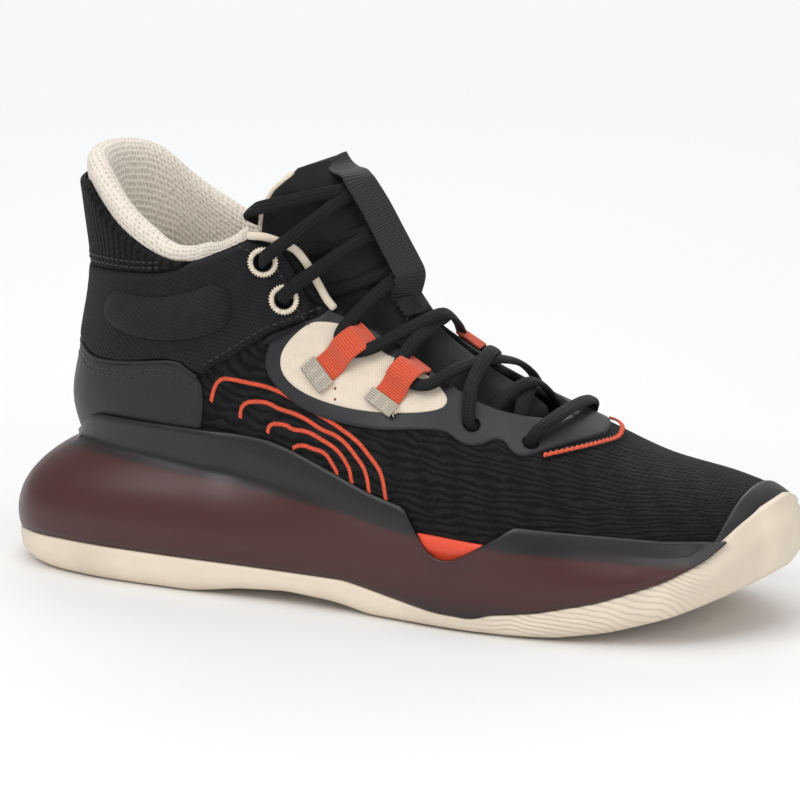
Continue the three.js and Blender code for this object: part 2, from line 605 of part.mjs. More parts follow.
// ---- lace ----
// one strand from the toe eyelets to the tuck behind the tongue: station, girth (positive on the
// side it starts from), height above the last; lift raises it over the other strand
const strandRoute = (lift) => [
  [4.22, 0.09, 4.6], [4.27, 0.145, 4.5], [4.3, 0.178, 2.6], [4.33, 0.186, -0.8], [4.42, 0.172, -3.9],
  [4.6, 0.13, -4.2], [4.78, 0.075, 0.2 + lift * 0.4], [4.93, 0, 2.2 + lift],
    [5.07, -0.07, 0.2 + lift * 0.4],
  [5.12, -0.135, -4.2], [5.15, -0.185, -4.1], [5.19, -0.214, -1], [5.25, -0.217, 2.6], [5.4, -0.18, 4.6],
  [5.6, -0.12, 4.2], [5.82, 0, 2.6 + lift], [5.98, 0.12, 3.9], [6.12, 0.195, 4.3], [6.35, 0.215, 3.8],
    [6.6, 0.218, 3.8],
  [6.82, 0.195, 4.4], [6.98, 0.12, 4.1], [7.15, 0, 2.8 + lift], [7.3, -0.13, 4.0], [7.45, -0.215, 4.4],
  [7.7, -0.25, 3.8], [7.95, -0.256, 3.8], [8.25, -0.235, 4.4], [8.6, -0.14, 2.6], [8.95, 0, 2.2 + lift],
  [9.15, 0.12, 0.2], [9.35, 0.2, -4.4], [9.55, 0.26, -4.6], [9.72, 0.294, -1.8], [9.84, 0.3, 3],
  [10.0, 0.27, 5.4], [10.15, 0.2, 4.6], [10.32, 0.1, 2.4], [10.42, 0, 2.2 + lift], [10.5, -0.1, 0.6],
  [10.56, -0.19, -4.4], [10.68, -0.27, -4.8], [10.82, -0.318, -2], [10.94, -0.33, 3], [11.1, -0.3, 5.4],
  [11.4, -0.2, 4.4], [11.65, -0.1, 2.2], [11.8, 0, 2.2 + lift], [11.98, 0.13, 2.4], [12.14, 0.25, 0.2],
  [12.2, 0.325, -4.4], [12.12, 0.355, -10], [11.85, 0.34, -14.2], [11.4, 0.29, -15.4], [10.9, 0.25, -15.6],
];
const lacePoint = ([s, g, off], side) => {
  const p = offLast(s, g * side || 1e-6 * side, off);
  return { p, n: lastNormal(s, g * side || 1e-6 * side) };
};
const bar = [[4.2, 0.04, 4.6]];
const laceNodes = [
  ...strandRoute(0).reverse().map((q) => lacePoint(q, OUTER)),
  ...bar.map((q) => lacePoint(q, OUTER)),
  ...bar.map((q) => lacePoint(q, INNER)),
  ...strandRoute(2.9).map((q) => lacePoint(q, INNER)),
];
const LACE_CUTS = 1;
const lacePath = [];
laceNodes.forEach((node, i) => {
  const at = (k) => laceNodes[clamp(k, 0, laceNodes.length - 1)];
  const rows = [at(i - 1), node, at(i + 1), at(i + 2)].map(({ p, n }) => [p.x, p.y, p.z, n.x, n.y, n.z]);
  const cuts = i < laceNodes.length - 1 ? LACE_CUTS : 1;
  for (let k = 0; k < cuts; k++) {
    const v = rowAt(rows, 1 + k / LACE_CUTS);
    lacePath.push({ p: new THREE.Vector3(v[0], v[1], v[2]), n: new THREE.Vector3(v[3], v[4], v[5]) });
  }
});
// the flat side keeps to the surface where the lace lies on it, and carries over elsewhere
const laceSides = [];
lacePath.forEach(({ n }, i) => {
  const a = lacePath[Math.max(i - 1, 0)].p;
  const b = lacePath[Math.min(i + 1, lacePath.length - 1)].p;
  const along = b.clone().sub(a).normalize();
  const flat = new THREE.Vector3().crossVectors(n, along);
  const before = laceSides[i - 1] ?? flat.clone().normalize();
  const weight = flat.lengthSq() ** 2 * 0.5;
  if (flat.dot(before) < 0) flat.negate();
  const side = before.clone().multiplyScalar(1 - weight).addScaledVector(flat.normalize(), weight);
  laceSides.push(side.addScaledVector(along, -side.dot(along)).normalize());
});
const lacePoints = lacePath.map(({ p }) => p);
const makeLace = (extra) =>
  ribbon(lacePoints, laceSides, LACE_WIDTH + 2 * extra, LACE_THICK + 2 * extra, 6);

// ---- parts ----
const group = new THREE.Group();
group.name = "basketball_high_top";
const COLOURS = {
  cream: [0xe9dcc6, 0.75], outsole: [0xe8d9bd, 0.6], cage: [0x3a2a2b, 0.3], core: [0xd8401f, 0.6],
  black: [0x16161a, 0.85], film: [0x232327, 0.5], guard: [0x1c1c20, 0.55], leather: [0x141416, 0.5],
  collar: [0x26262b, 0.85], orange: [0xe8481e, 0.7], lining: [0xe6dccb, 0.9], board: [0xcfc6b4, 0.9],
  foam: [0xe9e4d8, 0.9], plate: [0x2b2b2e, 0.45], tab: [0xb9ae9b, 0.8], lace: [0x131316, 0.85],
};
function add(name, made, colour) {
  const whole = biggest(made);
  const m = whole.getMesh();
  const g = new THREE.BufferGeometry();
  const n = m.numProp;
  const positions = new Float32Array((m.vertProperties.length / n) * 3);
  for (let i = 0; i < positions.length / 3; i++)
    for (let k = 0; k < 3; k++) positions[3 * i + k] = m.vertProperties[n * i + k];
  g.setAttribute("position", new THREE.BufferAttribute(positions, 3));
  g.setIndex([...m.triVerts]);
  const [color, roughness] = COLOURS[colour];
  const mesh = new THREE.Mesh(g, new THREE.MeshStandardMaterial({ color, roughness, metalness: 0 }));
  mesh.name = name;
  group.add(mesh);
  return whole;
}

const aroundLace = makeLace(GAP);
const sharp = { sharp: true, steps: 1 };
const leg = { ...sharp, deep: -14, high: 10 };

// ---- upper cloth, board, insole and linings ----
const floorAt = (x) => profile(FLOOR, x);
const bottomCut = (extra) => planCut(12 + extra, (x) => floorAt(x) + 7 - extra, 14, 268 * lengthScale);
const edgeRoom = BINDING / 2 + GAP + 0.8;
const opening = (extra, drop = 0) => throatCut(extra, edgeRoom).add(topCut(drop));
const upperCloth = shell(-KNIT, 0);
add("mesh_upper", upperCloth.subtract(opening(0)).subtract(bottomCut(0)).subtract(holes)
  .subtract(aroundLace), "black");
add("strobel_board", upperCloth.intersect(bottomCut(1.2 * GAP)), "board");
const insoleTop = planCut(13.2, (x) => floorAt(x) + 9);
add("insole", shell(-KNIT - GAP - INSOLE, -KNIT - GAP, 0.9)
  .intersect(bottomCut(1.2).intersect(insoleTop)), "board");
const LINING_LOW = -KNIT - GAP - 1.1;
const TOE_SEAM = 262;
const heelSide = sideCut([[-60, 79], [76, 79], [108, 99], [140, 112], [140, 240], [-60, 240]], sharp);
const heelLow = sideCut([[-60, 80], [76, 80], [86, 60], [86, -20], [-60, -20]], sharp);
add("vamp_lining", shell(LINING_LOW, -KNIT - GAP, 1.2).subtract(opening(0.5)).subtract(bottomCut(-0.6))
  .subtract(holes).subtract(aroundLace).subtract(heelSide).subtract(heelLow)
  .trimByPlane([-1, 0, 0], -(TOE_SEAM - GAP) * lengthScale), "lining");
add("toe_puff", shell(LINING_LOW, -KNIT - GAP, 0.5).subtract(bottomCut(-0.6))
  .trimByPlane([1, 0, 0], TOE_SEAM * lengthScale), "board");
const guardArea = both((side) => cutter(TOE_GUARD, side, { steps: 2 }));
add("toe_guard", shell(GAP, GAP + FILM_THICK).intersect(guardArea), "guard");

// ---- eyestay ----
const filmArea = both((side) => cutter(FILM, side, { steps: 1 }));
const panelArea = (side, extra) => cutter(grow(PANEL_EDGE, extra), side, { steps: 1 });
add("eyestay", shell(GAP, GAP + FILM_THICK).intersect(filmArea)
  .subtract(both((side) => panelArea(side, GAP)))
  .subtract(holes).subtract(aroundLace), "film");
const BAR = [[4.04, 0.205], [3.86, 0.165], [3.68, 0.115], [3.54, 0.06], [3.46, 0]];
const barNodes = [...BAR.map(([s, g]) => [s, -g]), ...BAR.slice(0, -1).reverse()];
const across = (nodes, off) => nodes.map(([s, g, own]) => offLast(s, g || 1e-6, own ?? off));
function crossSides(nodes, points) {
  return points.map((p, i) => {
    const a = points[Math.max(i - 1, 0)];
    const b = points[Math.min(i + 1, points.length - 1)];
    return new THREE.Vector3().crossVectors(lastNormal(nodes[i][0], nodes[i][1] || 1e-6),
      b.clone().sub(a)).normalize();
  });
}
function trim(nodes, off, width, thick, corners = 8) {
  const fine = [];
  nodes.forEach((node, i) => {
    const rows = [-1, 0, 1, 2].map((d) => nodes[clamp(i + d, 0, nodes.length - 1)]);
    fine.push(node);
    if (i < nodes.length - 1) fine.push(rowAt(rows, 1.5));
  });
  const points = across(fine, off);
  return ribbon(points, crossSides(fine, points), width, thick, corners);
}
add("throat_bar", trim(barNodes, GAP + 0.55, 2.2, 1.0), "orange");

const LOOPS = { lower: { station: 6.6, shift: 0 }, upper: { station: 7.83, shift: 0.038 } };
const ARCH = [[0.335, 0], [0.305, 0], [0.277, 0.1], [0.26, 1.3], [0.247, 3.1], [0.233, 3.9],
  [0.205, 3.9], [0.19, 3.1],
  [0.177, 1.3], [0.166, 0.1], [0.156, 0]];
for (const side of [OUTER, INNER]) {
  const name = sideName(side);
  add(`eyelet_panel_${name}`, shell(GAP, GAP + PANEL).intersect(panelArea(side, 0)).subtract(aroundLace),
    "cream");
  for (const [place, { station, shift: along }] of Object.entries(LOOPS)) {
    const base = GAP + PANEL + GAP + LOOP_THICK / 2;
    const nodes = ARCH.map(([g, rise]) => [station, (g + along) * side, base + rise]);
    const seat = shell(-1, GAP + PANEL + 0.9 * GAP);
    add(`lace_loop_${name}_${place}`, trim(nodes, 0, LOOP_WIDTH, LOOP_THICK).subtract(seat)
      .subtract(aroundLace), "orange");
    const tab = [0.342, 0.325, 0.308, 0.292].map((g) => [station, (g + along) * side,
      base + LOOP_THICK / 2 + GAP + 0.35]);
    add(`loop_tab_${name}_${place}`, trim(tab, 0, LOOP_WIDTH + 2, 0.6), "tab");
  }
}

// ---- heel and collar ----
const lowered = (line, d) => line.map(([x, z]) => [x, z - d]);
const collarRegion = sideCut([...COUNTER_TOP, ...SEAM.map(([x, z]) => [x + 0.4, z + 0.2]), [128, 200],
  [74.6, 200],
  [74.6, 122], ...lowered(TAB_LOW, GAP).slice(0, -1).reverse()], sharp);
add("collar_panel", shell(GAP, GAP + COLLAR_PAD).intersect(collarRegion).subtract(opening(edgeRoom))
  .subtract(both((side) => panelArea(side, GAP))).subtract(filmArea).subtract(holes)
  .subtract(aroundLace), "collar");
const tabRegion = sideCut([...TAB_LOW, [74, 200], [-40, 200]], sharp);
add("heel_tab", shell(GAP, GAP + COLLAR_PAD - 0.4).intersect(tabRegion).subtract(opening(edgeRoom)),
  "black");
const counterRegion = (extra) => sideCut([...lowered(COUNTER_TOP, GAP - extra), [78 + extra, 60],
  [76 + extra, 49 - extra],
  [-40, 49 - extra]], sharp);
add("counter_cover", shell(GAP, GAP + COUNTER_SKIN).intersect(counterRegion(0)), "leather");
const stiffRegion = sideCut([[-40, 47], [70, 47], [75, 60], [62, 80], [-40, 84]], sharp);
add("heel_stiffener", shell(-KNIT - GAP - STIFFENER, -KNIT - GAP, 7).intersect(stiffRegion), "board");
for (const side of [OUTER, INNER]) {
  const reach = side === OUTER ? { from: -90, to: -2 } : { from: 4, to: 90 };
  const pod = sideCut(POD_OUTLINE, { ...reach, steps: 1 });
  const low = GAP + COLLAR_PAD + GAP;
  add(`ankle_pod_${sideName(side)}`, shell(low, low + POD, 6).intersect(pod), "collar");
}
const FOAM_HIGH = -KNIT - GAP - STIFFENER - GAP;
const LINING_HIGH = FOAM_HIGH - FOAM - GAP;
const foamRegion = both((side) => cutter([[8.8, 0.5], [8.8, 1.03], [14.6, 1.03], [14.6, 0.46], [11, 0.445],
  [9.6, 0.46]], side, { ...leg, steps: 2 }));
const liningRegion = both((side) => cutter([[8.2, 0.5], [8.2, 1.03], [14.6, 1.03], [14.6, 0.45], [11, 0.43],
  [9.4, 0.45]], side, { ...leg, steps: 2 }));
const aboveAnkle = (low) => sideCut([[-60, low], [140, low], [140, 240], [-60, 240]], sharp);
const collarFoam = add("collar_foam", shell(FOAM_HIGH - FOAM, FOAM_HIGH, 7).intersect(foamRegion)
  .subtract(topCut(6.4)).intersect(aboveAnkle(62)), "foam");
add("collar_lining", shell(LINING_HIGH - LINING, LINING_HIGH, 7).intersect(liningRegion)
  .subtract(topCut(6)).intersect(aboveAnkle(58)).subtract(collarFoam), "lining");
const ROLL = [[11.5, 0.452], [11.52, 0.49], [11.75, 0.535], [12.15, 0.585], [12.72, 0.66], [13.3, 0.745],
  [13.56, 0.83],
  [13.66, 0.92], [13.7, 0.9999]];
const rollDepth = (-KNIT - GAP + LINING_HIGH - LINING) / 2 - 2 * GAP;
const rollNodes = [...ROLL.map(([s, g]) => [s, -g]), ...ROLL.slice(0, -1).reverse()];
const rollPoints = rollNodes.map(([s, g]) => offLast(s + 0.1, g, rollDepth));
const rollSides = rollNodes.map(([s, g]) => lastNormal(s + 0.1, g));
const ROLL_HEIGHT = 9;
add("collar_roll", ribbon(rollPoints, rollSides, -KNIT - GAP - LINING_HIGH + LINING, ROLL_HEIGHT, 10),
  "lining");
for (const side of [OUTER, INNER]) {
  const name = sideName(side);
  const edge = [[11.45, 0.312], [11.15, 0.278], [10.8, 0.252], [10.3, 0.235], [9.8, 0.228], [9.3, 0.225],
    [9.0, 0.221]];
  add(`collar_binding_${name}`, trim(edge.map(([s, g]) => [s, g * side]), 0.3, BINDING, 3.2)
    .subtract(aroundLace), "cream");
  for (const [place, at] of [["lower", EYELETS.ankle], ["upper", EYELETS.top]]) {
    const ring = new THREE.TorusGeometry(EYELET_HOLE + 2 * EYELET_RIM, EYELET_RIM, 5, 14);
    const off = GAP + COLLAR_PAD + 0.5 + EYELET_RIM;
    const centre = offLast(at[0], at[1] * side, off);
    const turn = new THREE.Quaternion().setFromUnitVectors(new THREE.Vector3(0, 0, 1),
      lastNormal(at[0], at[1] * side));
    ring.applyMatrix4(new THREE.Matrix4().compose(centre, turn, new THREE.Vector3(1, 1, 1)));
    add(`eyelet_rim_${name}_${place}`, solid(ring).subtract(aroundLace), "cream");
  }
}

// ---- tongue ----
const TONGUE_HALF = [[4.5, 0.11], [5, 0.19], [6, 0.225], [8, 0.265], [10, 0.32], [11.5, 0.335],
  [12.1, 0.312],
  [12.5, 0.265], [12.75, 0.22], [13.0, 0.13]];
const tongueHalf = (s) => profile(TONGUE_HALF, s);
const WING_DROP = -6.0;
function tongueTop(s, share) {
  const edge = Math.min(profile(THROAT, s), 0.23);
  const g = Math.abs(share) * tongueHalf(s);
  const free = smooth(s, 11.6, 12.6);
  return lerp(-1, lerp(WING_DROP, -3.6, free), smooth(g, edge - 0.085 + 0.05 * free,
    edge - 0.015 + 0.05 * free));
}
const under = (d) => (s, share) => tongueTop(s, share) - d;
add("tongue_shell", saddle(4.5, 13, 17, 10, tongueHalf, under(TONGUE_FACE), under(0))
  .subtract(aroundLace), "collar");
const foamTop = TONGUE_FACE + GAP;
const tongueBack = foamTop + TONGUE_FOAM + GAP;
add("tongue_foam", saddle(7.5, 12.5, 10, 10, tongueHalf, under(foamTop + TONGUE_FOAM), under(foamTop))
  .subtract(aroundLace), "foam");
add("tongue_lining", saddle(7.5, 13, 11, 10, tongueHalf, under(tongueBack + LINING), under(tongueBack))
  .subtract(aroundLace), "lining");
const strapLow = -1 + GAP + STRAP_THICK / 2;
const STRAP = [[12.98, 0], [12.75, 0.1], [12.45, 2.6], [12.2, 6.2], [11.9, 7.6], [11.3, 7.7],
  [10.5, 7.7], [9.6, 7.7],
  [9.0, 7.6], [8.62, 7.1], [8.42, 4.6], [8.25, 1.2], [8.1, 0.05], [7.9, 0], [7.6, 0]];
const strapLine = STRAP.map(([s, rise]) => [s, 0, strapLow + rise]);
add("tongue_strap", trim(strapLine, 0, STRAP_WIDTH, STRAP_THICK).subtract(aroundLace), "lace");
const patch = [8.12, 7.95, 7.75, 7.55].map((s) => [s, 0, strapLow + STRAP_THICK + GAP]);
add("strap_tab", trim(patch, 0, STRAP_WIDTH + 2.5, 0.8), "lace");

// ---- lace ----
add("lace", makeLace(0), "lace");
for (const [name, end, before] of [["aglet_lateral", 0, 1],
  ["aglet_medial", lacePoints.length - 1, lacePoints.length - 2]]) {
  const way = lacePoints[end].clone().sub(lacePoints[before]).normalize();
  const points = [GAP, 2, 18, 20].map((d) => lacePoints[end].clone().addScaledVector(way, d));
  add(name, ribbon(points, points.map(() => laceSides[end]), 3.4, 2.8, 8), "plate");
}

// ---- sole ----
const overCover = shell(0, GAP + COUNTER_SKIN + GAP).intersect(counterRegion(0.6));
const seat = lastSolid(GAP);
add("outsole", makeOutsole(lastSolid(GAP + FILM_THICK + GAP)), "outsole");
const WINDOW = [[165, 60], [168, 42], [172, 36], [176, 29], [180, 26], [184, 27], [189, 31], [195, 36],
  [200, 39], [203, 60]];
add("cage_shell", makeCage(seat).subtract(overCover).subtract(sideCut(WINDOW, sharp)), "cage");
const SHANK_WIDTH = 30;
const SHANK_THICK = 1.6;
const shankX = [72, 88, 104, 120, 136, 152, 166];
const shank = (width, thick, lift) => {
  const points = shankX.map((x) => new THREE.Vector3(x * lengthScale, -2,
    profile(TREAD, x) + SOLE_FLOOR + GAP + lift));
  return ribbon(points, points.map(() => new THREE.Vector3(0, 1, 0)), width, thick, 4);
};
const shankLift = GAP + SHANK_THICK;
const UP = new THREE.Vector3(0, 0, 1);
const cushion = (radius, low) => rod(radius, 30, new THREE.Vector3(45 * lengthScale, -1, low + 15), UP, 24);
const CUSHION_RADIUS = 23;
add("midsole_core", makeFoam(seat).subtract(shank(SHANK_WIDTH + 2 * GAP, SHANK_THICK + 6, shankLift - 2))
  .subtract(cushion(CUSHION_RADIUS + GAP, 20)), "core");
add("shank_plate", shank(SHANK_WIDTH, SHANK_THICK, shankLift - 0.6), "plate");
add("heel_cushion", cushion(CUSHION_RADIUS, 20 + GAP).subtract(seat), "foam");

group.position.x = -ORIGIN_X * lengthScale;

export default group;
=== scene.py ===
"""Basketball high top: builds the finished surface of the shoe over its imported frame."""

import math

import bmesh
import bpy
import numpy as np
from bpy.props import FloatProperty, FloatVectorProperty, PointerProperty
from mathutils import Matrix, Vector, kdtree
from mathutils.geometry import delaunay_2d_cdt


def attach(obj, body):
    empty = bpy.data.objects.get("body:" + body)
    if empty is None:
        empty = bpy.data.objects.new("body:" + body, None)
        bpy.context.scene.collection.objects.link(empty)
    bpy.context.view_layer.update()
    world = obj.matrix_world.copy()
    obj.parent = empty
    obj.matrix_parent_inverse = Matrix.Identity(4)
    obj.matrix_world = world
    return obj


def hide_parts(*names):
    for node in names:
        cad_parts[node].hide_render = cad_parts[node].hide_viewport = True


bl_info = {
    "name": "Basketball High Top",
    "version": (1, 0, 0),
    "blender": (4, 5, 0),
    "location": "View3D > Sidebar > High Top",
    "description": "Builds a laced basketball high top, piece by piece, over its frame",
    "category": "Add Mesh",
}

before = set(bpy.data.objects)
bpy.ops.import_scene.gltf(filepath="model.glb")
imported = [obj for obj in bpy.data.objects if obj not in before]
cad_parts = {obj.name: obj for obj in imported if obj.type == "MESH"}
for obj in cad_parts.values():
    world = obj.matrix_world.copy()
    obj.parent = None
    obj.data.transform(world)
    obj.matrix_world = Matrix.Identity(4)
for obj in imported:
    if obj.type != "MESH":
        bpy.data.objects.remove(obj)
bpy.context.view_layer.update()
BODY = "root"
MM = 0.001
PATH_CUTS = 24  # samples between two points of a path
WELD = 0.02  # points this close, in mm, become one
ORIGIN_X = 45.0  # the frame's origin lies this far from the back of the upper, in mm

# ---------------------------------------------------------------------------------------------
# The last: the smooth form that the upper is made on. A point on it is (station, girth):
# station 0 is the toe and 14 the top of the leg; girth is 0 on the front ridge and 1 on the
# sole and heel line, negative on the outer side of the foot.
# ---------------------------------------------------------------------------------------------
# heel or sole point x, z; ridge point x, z; half width; centre y; height share of the widest
# place; squareness below and above it
STATIONS = np.array([
    [288, 34, 288, 36, 2, 10, 0.5, 2.0, 2.0],
    [282, 26, 281, 46, 25, 10, 0.38, 3.0, 2.0],
    [266, 22, 263, 52, 38, 8, 0.34, 3.4, 2.0],
    [238, 20, 236, 58, 46, 4, 0.3, 3.6, 2.0],
    [208, 20, 212, 68, 50, 0, 0.28, 3.6, 2.1],
    [176, 22, 190, 78, 49, -2, 0.28, 3.4, 2.0],
    [142, 25, 171, 88, 45, -3, 0.3, 3.2, 2.0],
    [104, 28, 156, 98, 41, -2, 0.34, 3.0, 2.0],
    [60, 30, 146, 108, 38, 0, 0.4, 2.8, 2.0],
    [24, 34, 139, 118, 37, 1, 0.44, 2.4, 2.0],
    [9, 57, 133, 128, 37, 1, 0.46, 2.3, 2.1],
    [13, 84, 127, 138, 37, 1, 0.48, 2.3, 2.2],
    [18, 110, 120, 148, 38, 1, 0.5, 2.3, 2.3],
    [16, 134, 113, 158, 38, 1, 0.5, 2.3, 2.3],
    [13, 156, 106, 168, 38, 1, 0.5, 2.3, 2.3],
], float)
TOP = len(STATIONS) - 1


def catmull(a, b, c, d, f):
    """The curve from b to c at the share f, bent by their neighbours a and d."""
    return 0.5 * (2 * b + (c - a) * f + (2 * a - 5 * b + 4 * c - d) * f**2 + (3 * b - a - 3 * c + d) * f**3)


def rows_at(rows, t):
    """Catmull-Rom through rows of numbers at t, carried on straight past the last row."""
    t = np.asarray(t, float)
    last = len(rows) - 1
    ext = np.vstack([2 * rows[0] - rows[1], rows, 2 * rows[-1] - rows[-2]])
    i = np.clip(np.floor(t).astype(int), 0, last - 1)
    f = np.clip(t - i, 0, 1)[..., None]
    over = np.clip(t - last, 0, None)[..., None]
    return catmull(*(ext[i + k] for k in range(4)), f) + over * (rows[-1] - rows[-2])


def on_last(station, girth):
    """Points on the last, in mm."""
    g = (np.asarray(girth, float) + 1) % 2 - 1
    row = rows_at(STATIONS, station)
    bx, bz, tx, tz, w, yc, mid, below, above = np.moveaxis(row, -1, 0)
    angle = (1 - np.abs(g)) * math.pi
    c = np.cos(angle)
    n = np.where(c > 0, below, above)
    along = -np.sign(c) * np.abs(c) ** (2 / n)
    share = mid + np.where(along < 0, along * mid, along * (1 - mid))
    out = np.abs(np.sin(angle)) ** (2 / n)
    side = np.where(g < 0, -1, 1)
    return np.stack([bx + (tx - bx) * share, yc + side * w * out, bz + (tz - bz) * share], -1)


def last_normal(station, girth):
    """Outward directions on the last."""
    station = np.asarray(station, float)
    g = (np.asarray(girth, float) + 1) % 2 - 1
    g = np.clip(np.abs(g), 0.006, 0.994) * np.where(g < 0, -1, 1)
    along = on_last(station + 0.02, g) - on_last(np.maximum(station - 0.02, 0), g)
    turn = on_last(station, g + 0.004) - on_last(station, g - 0.004)
    n = np.cross(turn, along)
    n /= np.linalg.norm(n, axis=-1, keepdims=True) + 1e-12
    centre = 0.5 * (on_last(station, g * 0) + on_last(station, g * 0 + 1))
    facing = ((on_last(station, g) - centre) * n).sum(-1, keepdims=True)
    return np.where(facing < 0, -n, n)


def off_last(station, girth, height):
    """Points above the last by height, in mm."""
    return on_last(station, girth) + last_normal(station, girth) * np.asarray(height, float)[..., None]


GRID_U, GRID_G = np.meshgrid(np.linspace(0.05, TOP, 420), np.linspace(0.0, 1.0, 220), indexing="ij")
GRID_P = on_last(GRID_U, -GRID_G)


def from_side(points):
    """(station, girth) of places given by x and height as seen from the outer side."""
    found = []
    for x, z in points:
        d = (GRID_P[..., 0] - x) ** 2 + (GRID_P[..., 2] - z) ** 2
        k = np.unravel_index(d.argmin(), d.shape)
        found.append([GRID_U[k], GRID_G[k]])
    return np.array(found)


def smooth(v, a, b):
    """0 below a, 1 above b, eased between."""
    t = np.clip((np.asarray(v, float) - a) / (b - a), 0, 1)
    return t * t * (3 - 2 * t)


def mix(a, b, t):
    return a + (b - a) * t


def profile(pairs, at):
    """A value against one coordinate, from pairs of (where, value)."""
    pairs = np.array(pairs, float)
    return np.interp(at, pairs[:, 0], pairs[:, 1])


def soft_profile(pairs, at, blur):
    """profile() with its corners rounded over a distance of about blur."""
    steps = np.linspace(-blur, blur, 9)
    return np.mean([profile(pairs, np.asarray(at) + s) for s in steps], axis=0)


def arc_length(points):
    """How far along its path each point lies."""
    return np.concatenate([[0], np.cumsum(np.linalg.norm(np.diff(points, axis=0), axis=1))])


def curve_through(points, step, closed=False):
    """A smooth path through points, resampled at an even step (in the points' own units)."""
    p = np.array(points, float)
    n = len(p)
    if closed:
        ext = np.vstack([p[-1:], p, p[:2]])
        t = np.linspace(0, n, n * PATH_CUTS, endpoint=False)
    else:
        ext = np.vstack([2 * p[0] - p[1], p, 2 * p[-1] - p[-2]])
        t = np.linspace(0, n - 1, (n - 1) * PATH_CUTS + 1)
    i = np.clip(np.floor(t).astype(int), 0, n - 1 if closed else n - 2)
    q = catmull(*(ext[i + k] for k in range(4)), (t - i)[:, None])
    if closed:
        q = np.vstack([q, q[:1]])
    run = arc_length(q)
    at = np.linspace(0, run[-1], max(int(round(run[-1] / step)), 3) + 1)
    out = np.stack([np.interp(at, run, column) for column in q.T], -1)
    return out[:-1] if closed else out


# one station is about 13 mm and a unit of girth about 118 mm, so this plane is nearly true
SHEET = np.array([13.0, 118.0])


def to_sheet(sg):
    return np.asarray(sg, float) * SHEET


def from_sheet(q):
    return np.asarray(q, float) / SHEET


# ---------------------------------------------------------------------------------------------
# Mesh building
# ---------------------------------------------------------------------------------------------
def in_frame(points):
    """Points in mm along the shoe, as metres in the frame."""
    return np.asarray(points, float) * MM - np.array([ORIGIN_X * MM, 0, 0])


def linked(name, data):
    """A new object in the scene."""
    made = bpy.data.objects.new(name, data)
    bpy.context.scene.collection.objects.link(made)
    return made


def new_mesh(name, verts, faces, material, uv=None, values=None):
    """A mesh object from points in mm; uv is one pair a vertex, values named numbers a vertex."""
    mesh = bpy.data.meshes.new(name)
    mesh.from_pydata(in_frame(verts).tolist(), [], [tuple(int(i) for i in f) for f in faces])
    mesh.update()
    if uv is not None:
        layer = mesh.uv_layers.new(name="UVMap")
        loops = np.empty(len(mesh.loops), int)
        mesh.loops.foreach_get("vertex_index", loops)
        layer.data.foreach_set("uv", np.asarray(uv, float)[loops].ravel())
    for key, numbers in (values or {}).items():
        attr = mesh.attributes.new(key, "FLOAT", "POINT")
        attr.data.foreach_set("value", np.asarray(numbers, float))
    mesh.materials.append(material)
    mesh.shade_smooth()
    return linked(name, mesh)


def settle(piece, *nodes, slot=None, padded=None):
    """Puts a finished piece on the frame in place of its solids."""
    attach(piece, BODY)
    if nodes:
        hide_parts(*nodes)
    return piece


def tree_of(points):
    """A tree for nearest points; flat points lie at height 0."""
    tree = kdtree.KDTree(len(points))
    for i, p in enumerate(points):
        tree.insert((*p, 0)[:3], i)
    tree.balance()
    return tree


def inside(loops, q):
    """True where points lie within the loops, counting holes out."""
    hit = np.zeros(len(q), bool)
    for loop in loops:
        for (x0, y0), (x1, y1) in zip(loop, np.roll(loop, -1, axis=0)):
            if y1 != y0:
                cross = (y0 > q[:, 1]) != (y1 > q[:, 1])
                hit ^= cross & (q[:, 0] < (x1 - x0) * (q[:, 1] - y0) / (y1 - y0) + x0)
    return hit


def fill_region(loops, spacing, edge_steps):
    """Triangles over a region of the sheet plane, with rows of points that follow its edges."""
    edges, start = [], 0
    for loop in loops:
        n = len(loop)
        edges += [(start + i, start + (i + 1) % n) for i in range(n)]
        start += n
    edge_tree = tree_of(np.vstack(loops))
    kept = []

    def keep(rows, least):
        for q in rows[inside(loops, rows)]:
            gap = edge_tree.find((*q, 0))[2]
            if gap > least(gap):
                kept.append(q)

    for loop in loops:
        ahead = np.roll(loop, -1, axis=0) - np.roll(loop, 1, axis=0)
        normal = np.stack([-ahead[:, 1], ahead[:, 0]], -1)
        normal /= np.linalg.norm(normal, axis=1, keepdims=True) + 1e-9
        for step in edge_steps:
            for sign in (1, -1):
                keep(loop + sign * step * normal,
                     lambda gap: 0.82 * min(edge_steps, key=lambda s: abs(s - gap)))
    low, high = np.vstack(loops).min(0), np.vstack(loops).max(0)
    across, up = (np.arange(low[k], high[k], spacing) for k in (0, 1))
    grid = np.array([[x + (0.5 * spacing if j % 2 else 0), y] for j, y in enumerate(up) for x in across])
    keep(grid, lambda gap: max(edge_steps) + 0.45 * spacing)
    flat = np.vstack([*loops, *kept])
    made = delaunay_2d_cdt([Vector((float(x), float(y))) for x, y in flat], edges, [], 0, 1e-5)
    verts = np.array([[v.x, v.y] for v in made[0]])
    tris = np.array([f for f in made[2] if len(f) == 3])
    tris = tris[inside(loops, verts[tris].mean(1))]
    used, back = np.unique(tris, return_inverse=True)
    return verts[used], back.reshape(-1, 3)


def border_edges(tris):
    """Directed edges that only one triangle has."""
    seen = dict.fromkeys(e for a, b, c in tris for e in ((a, b), (b, c), (c, a)))
    return [(a, b) for a, b in seen if (b, a) not in seen]


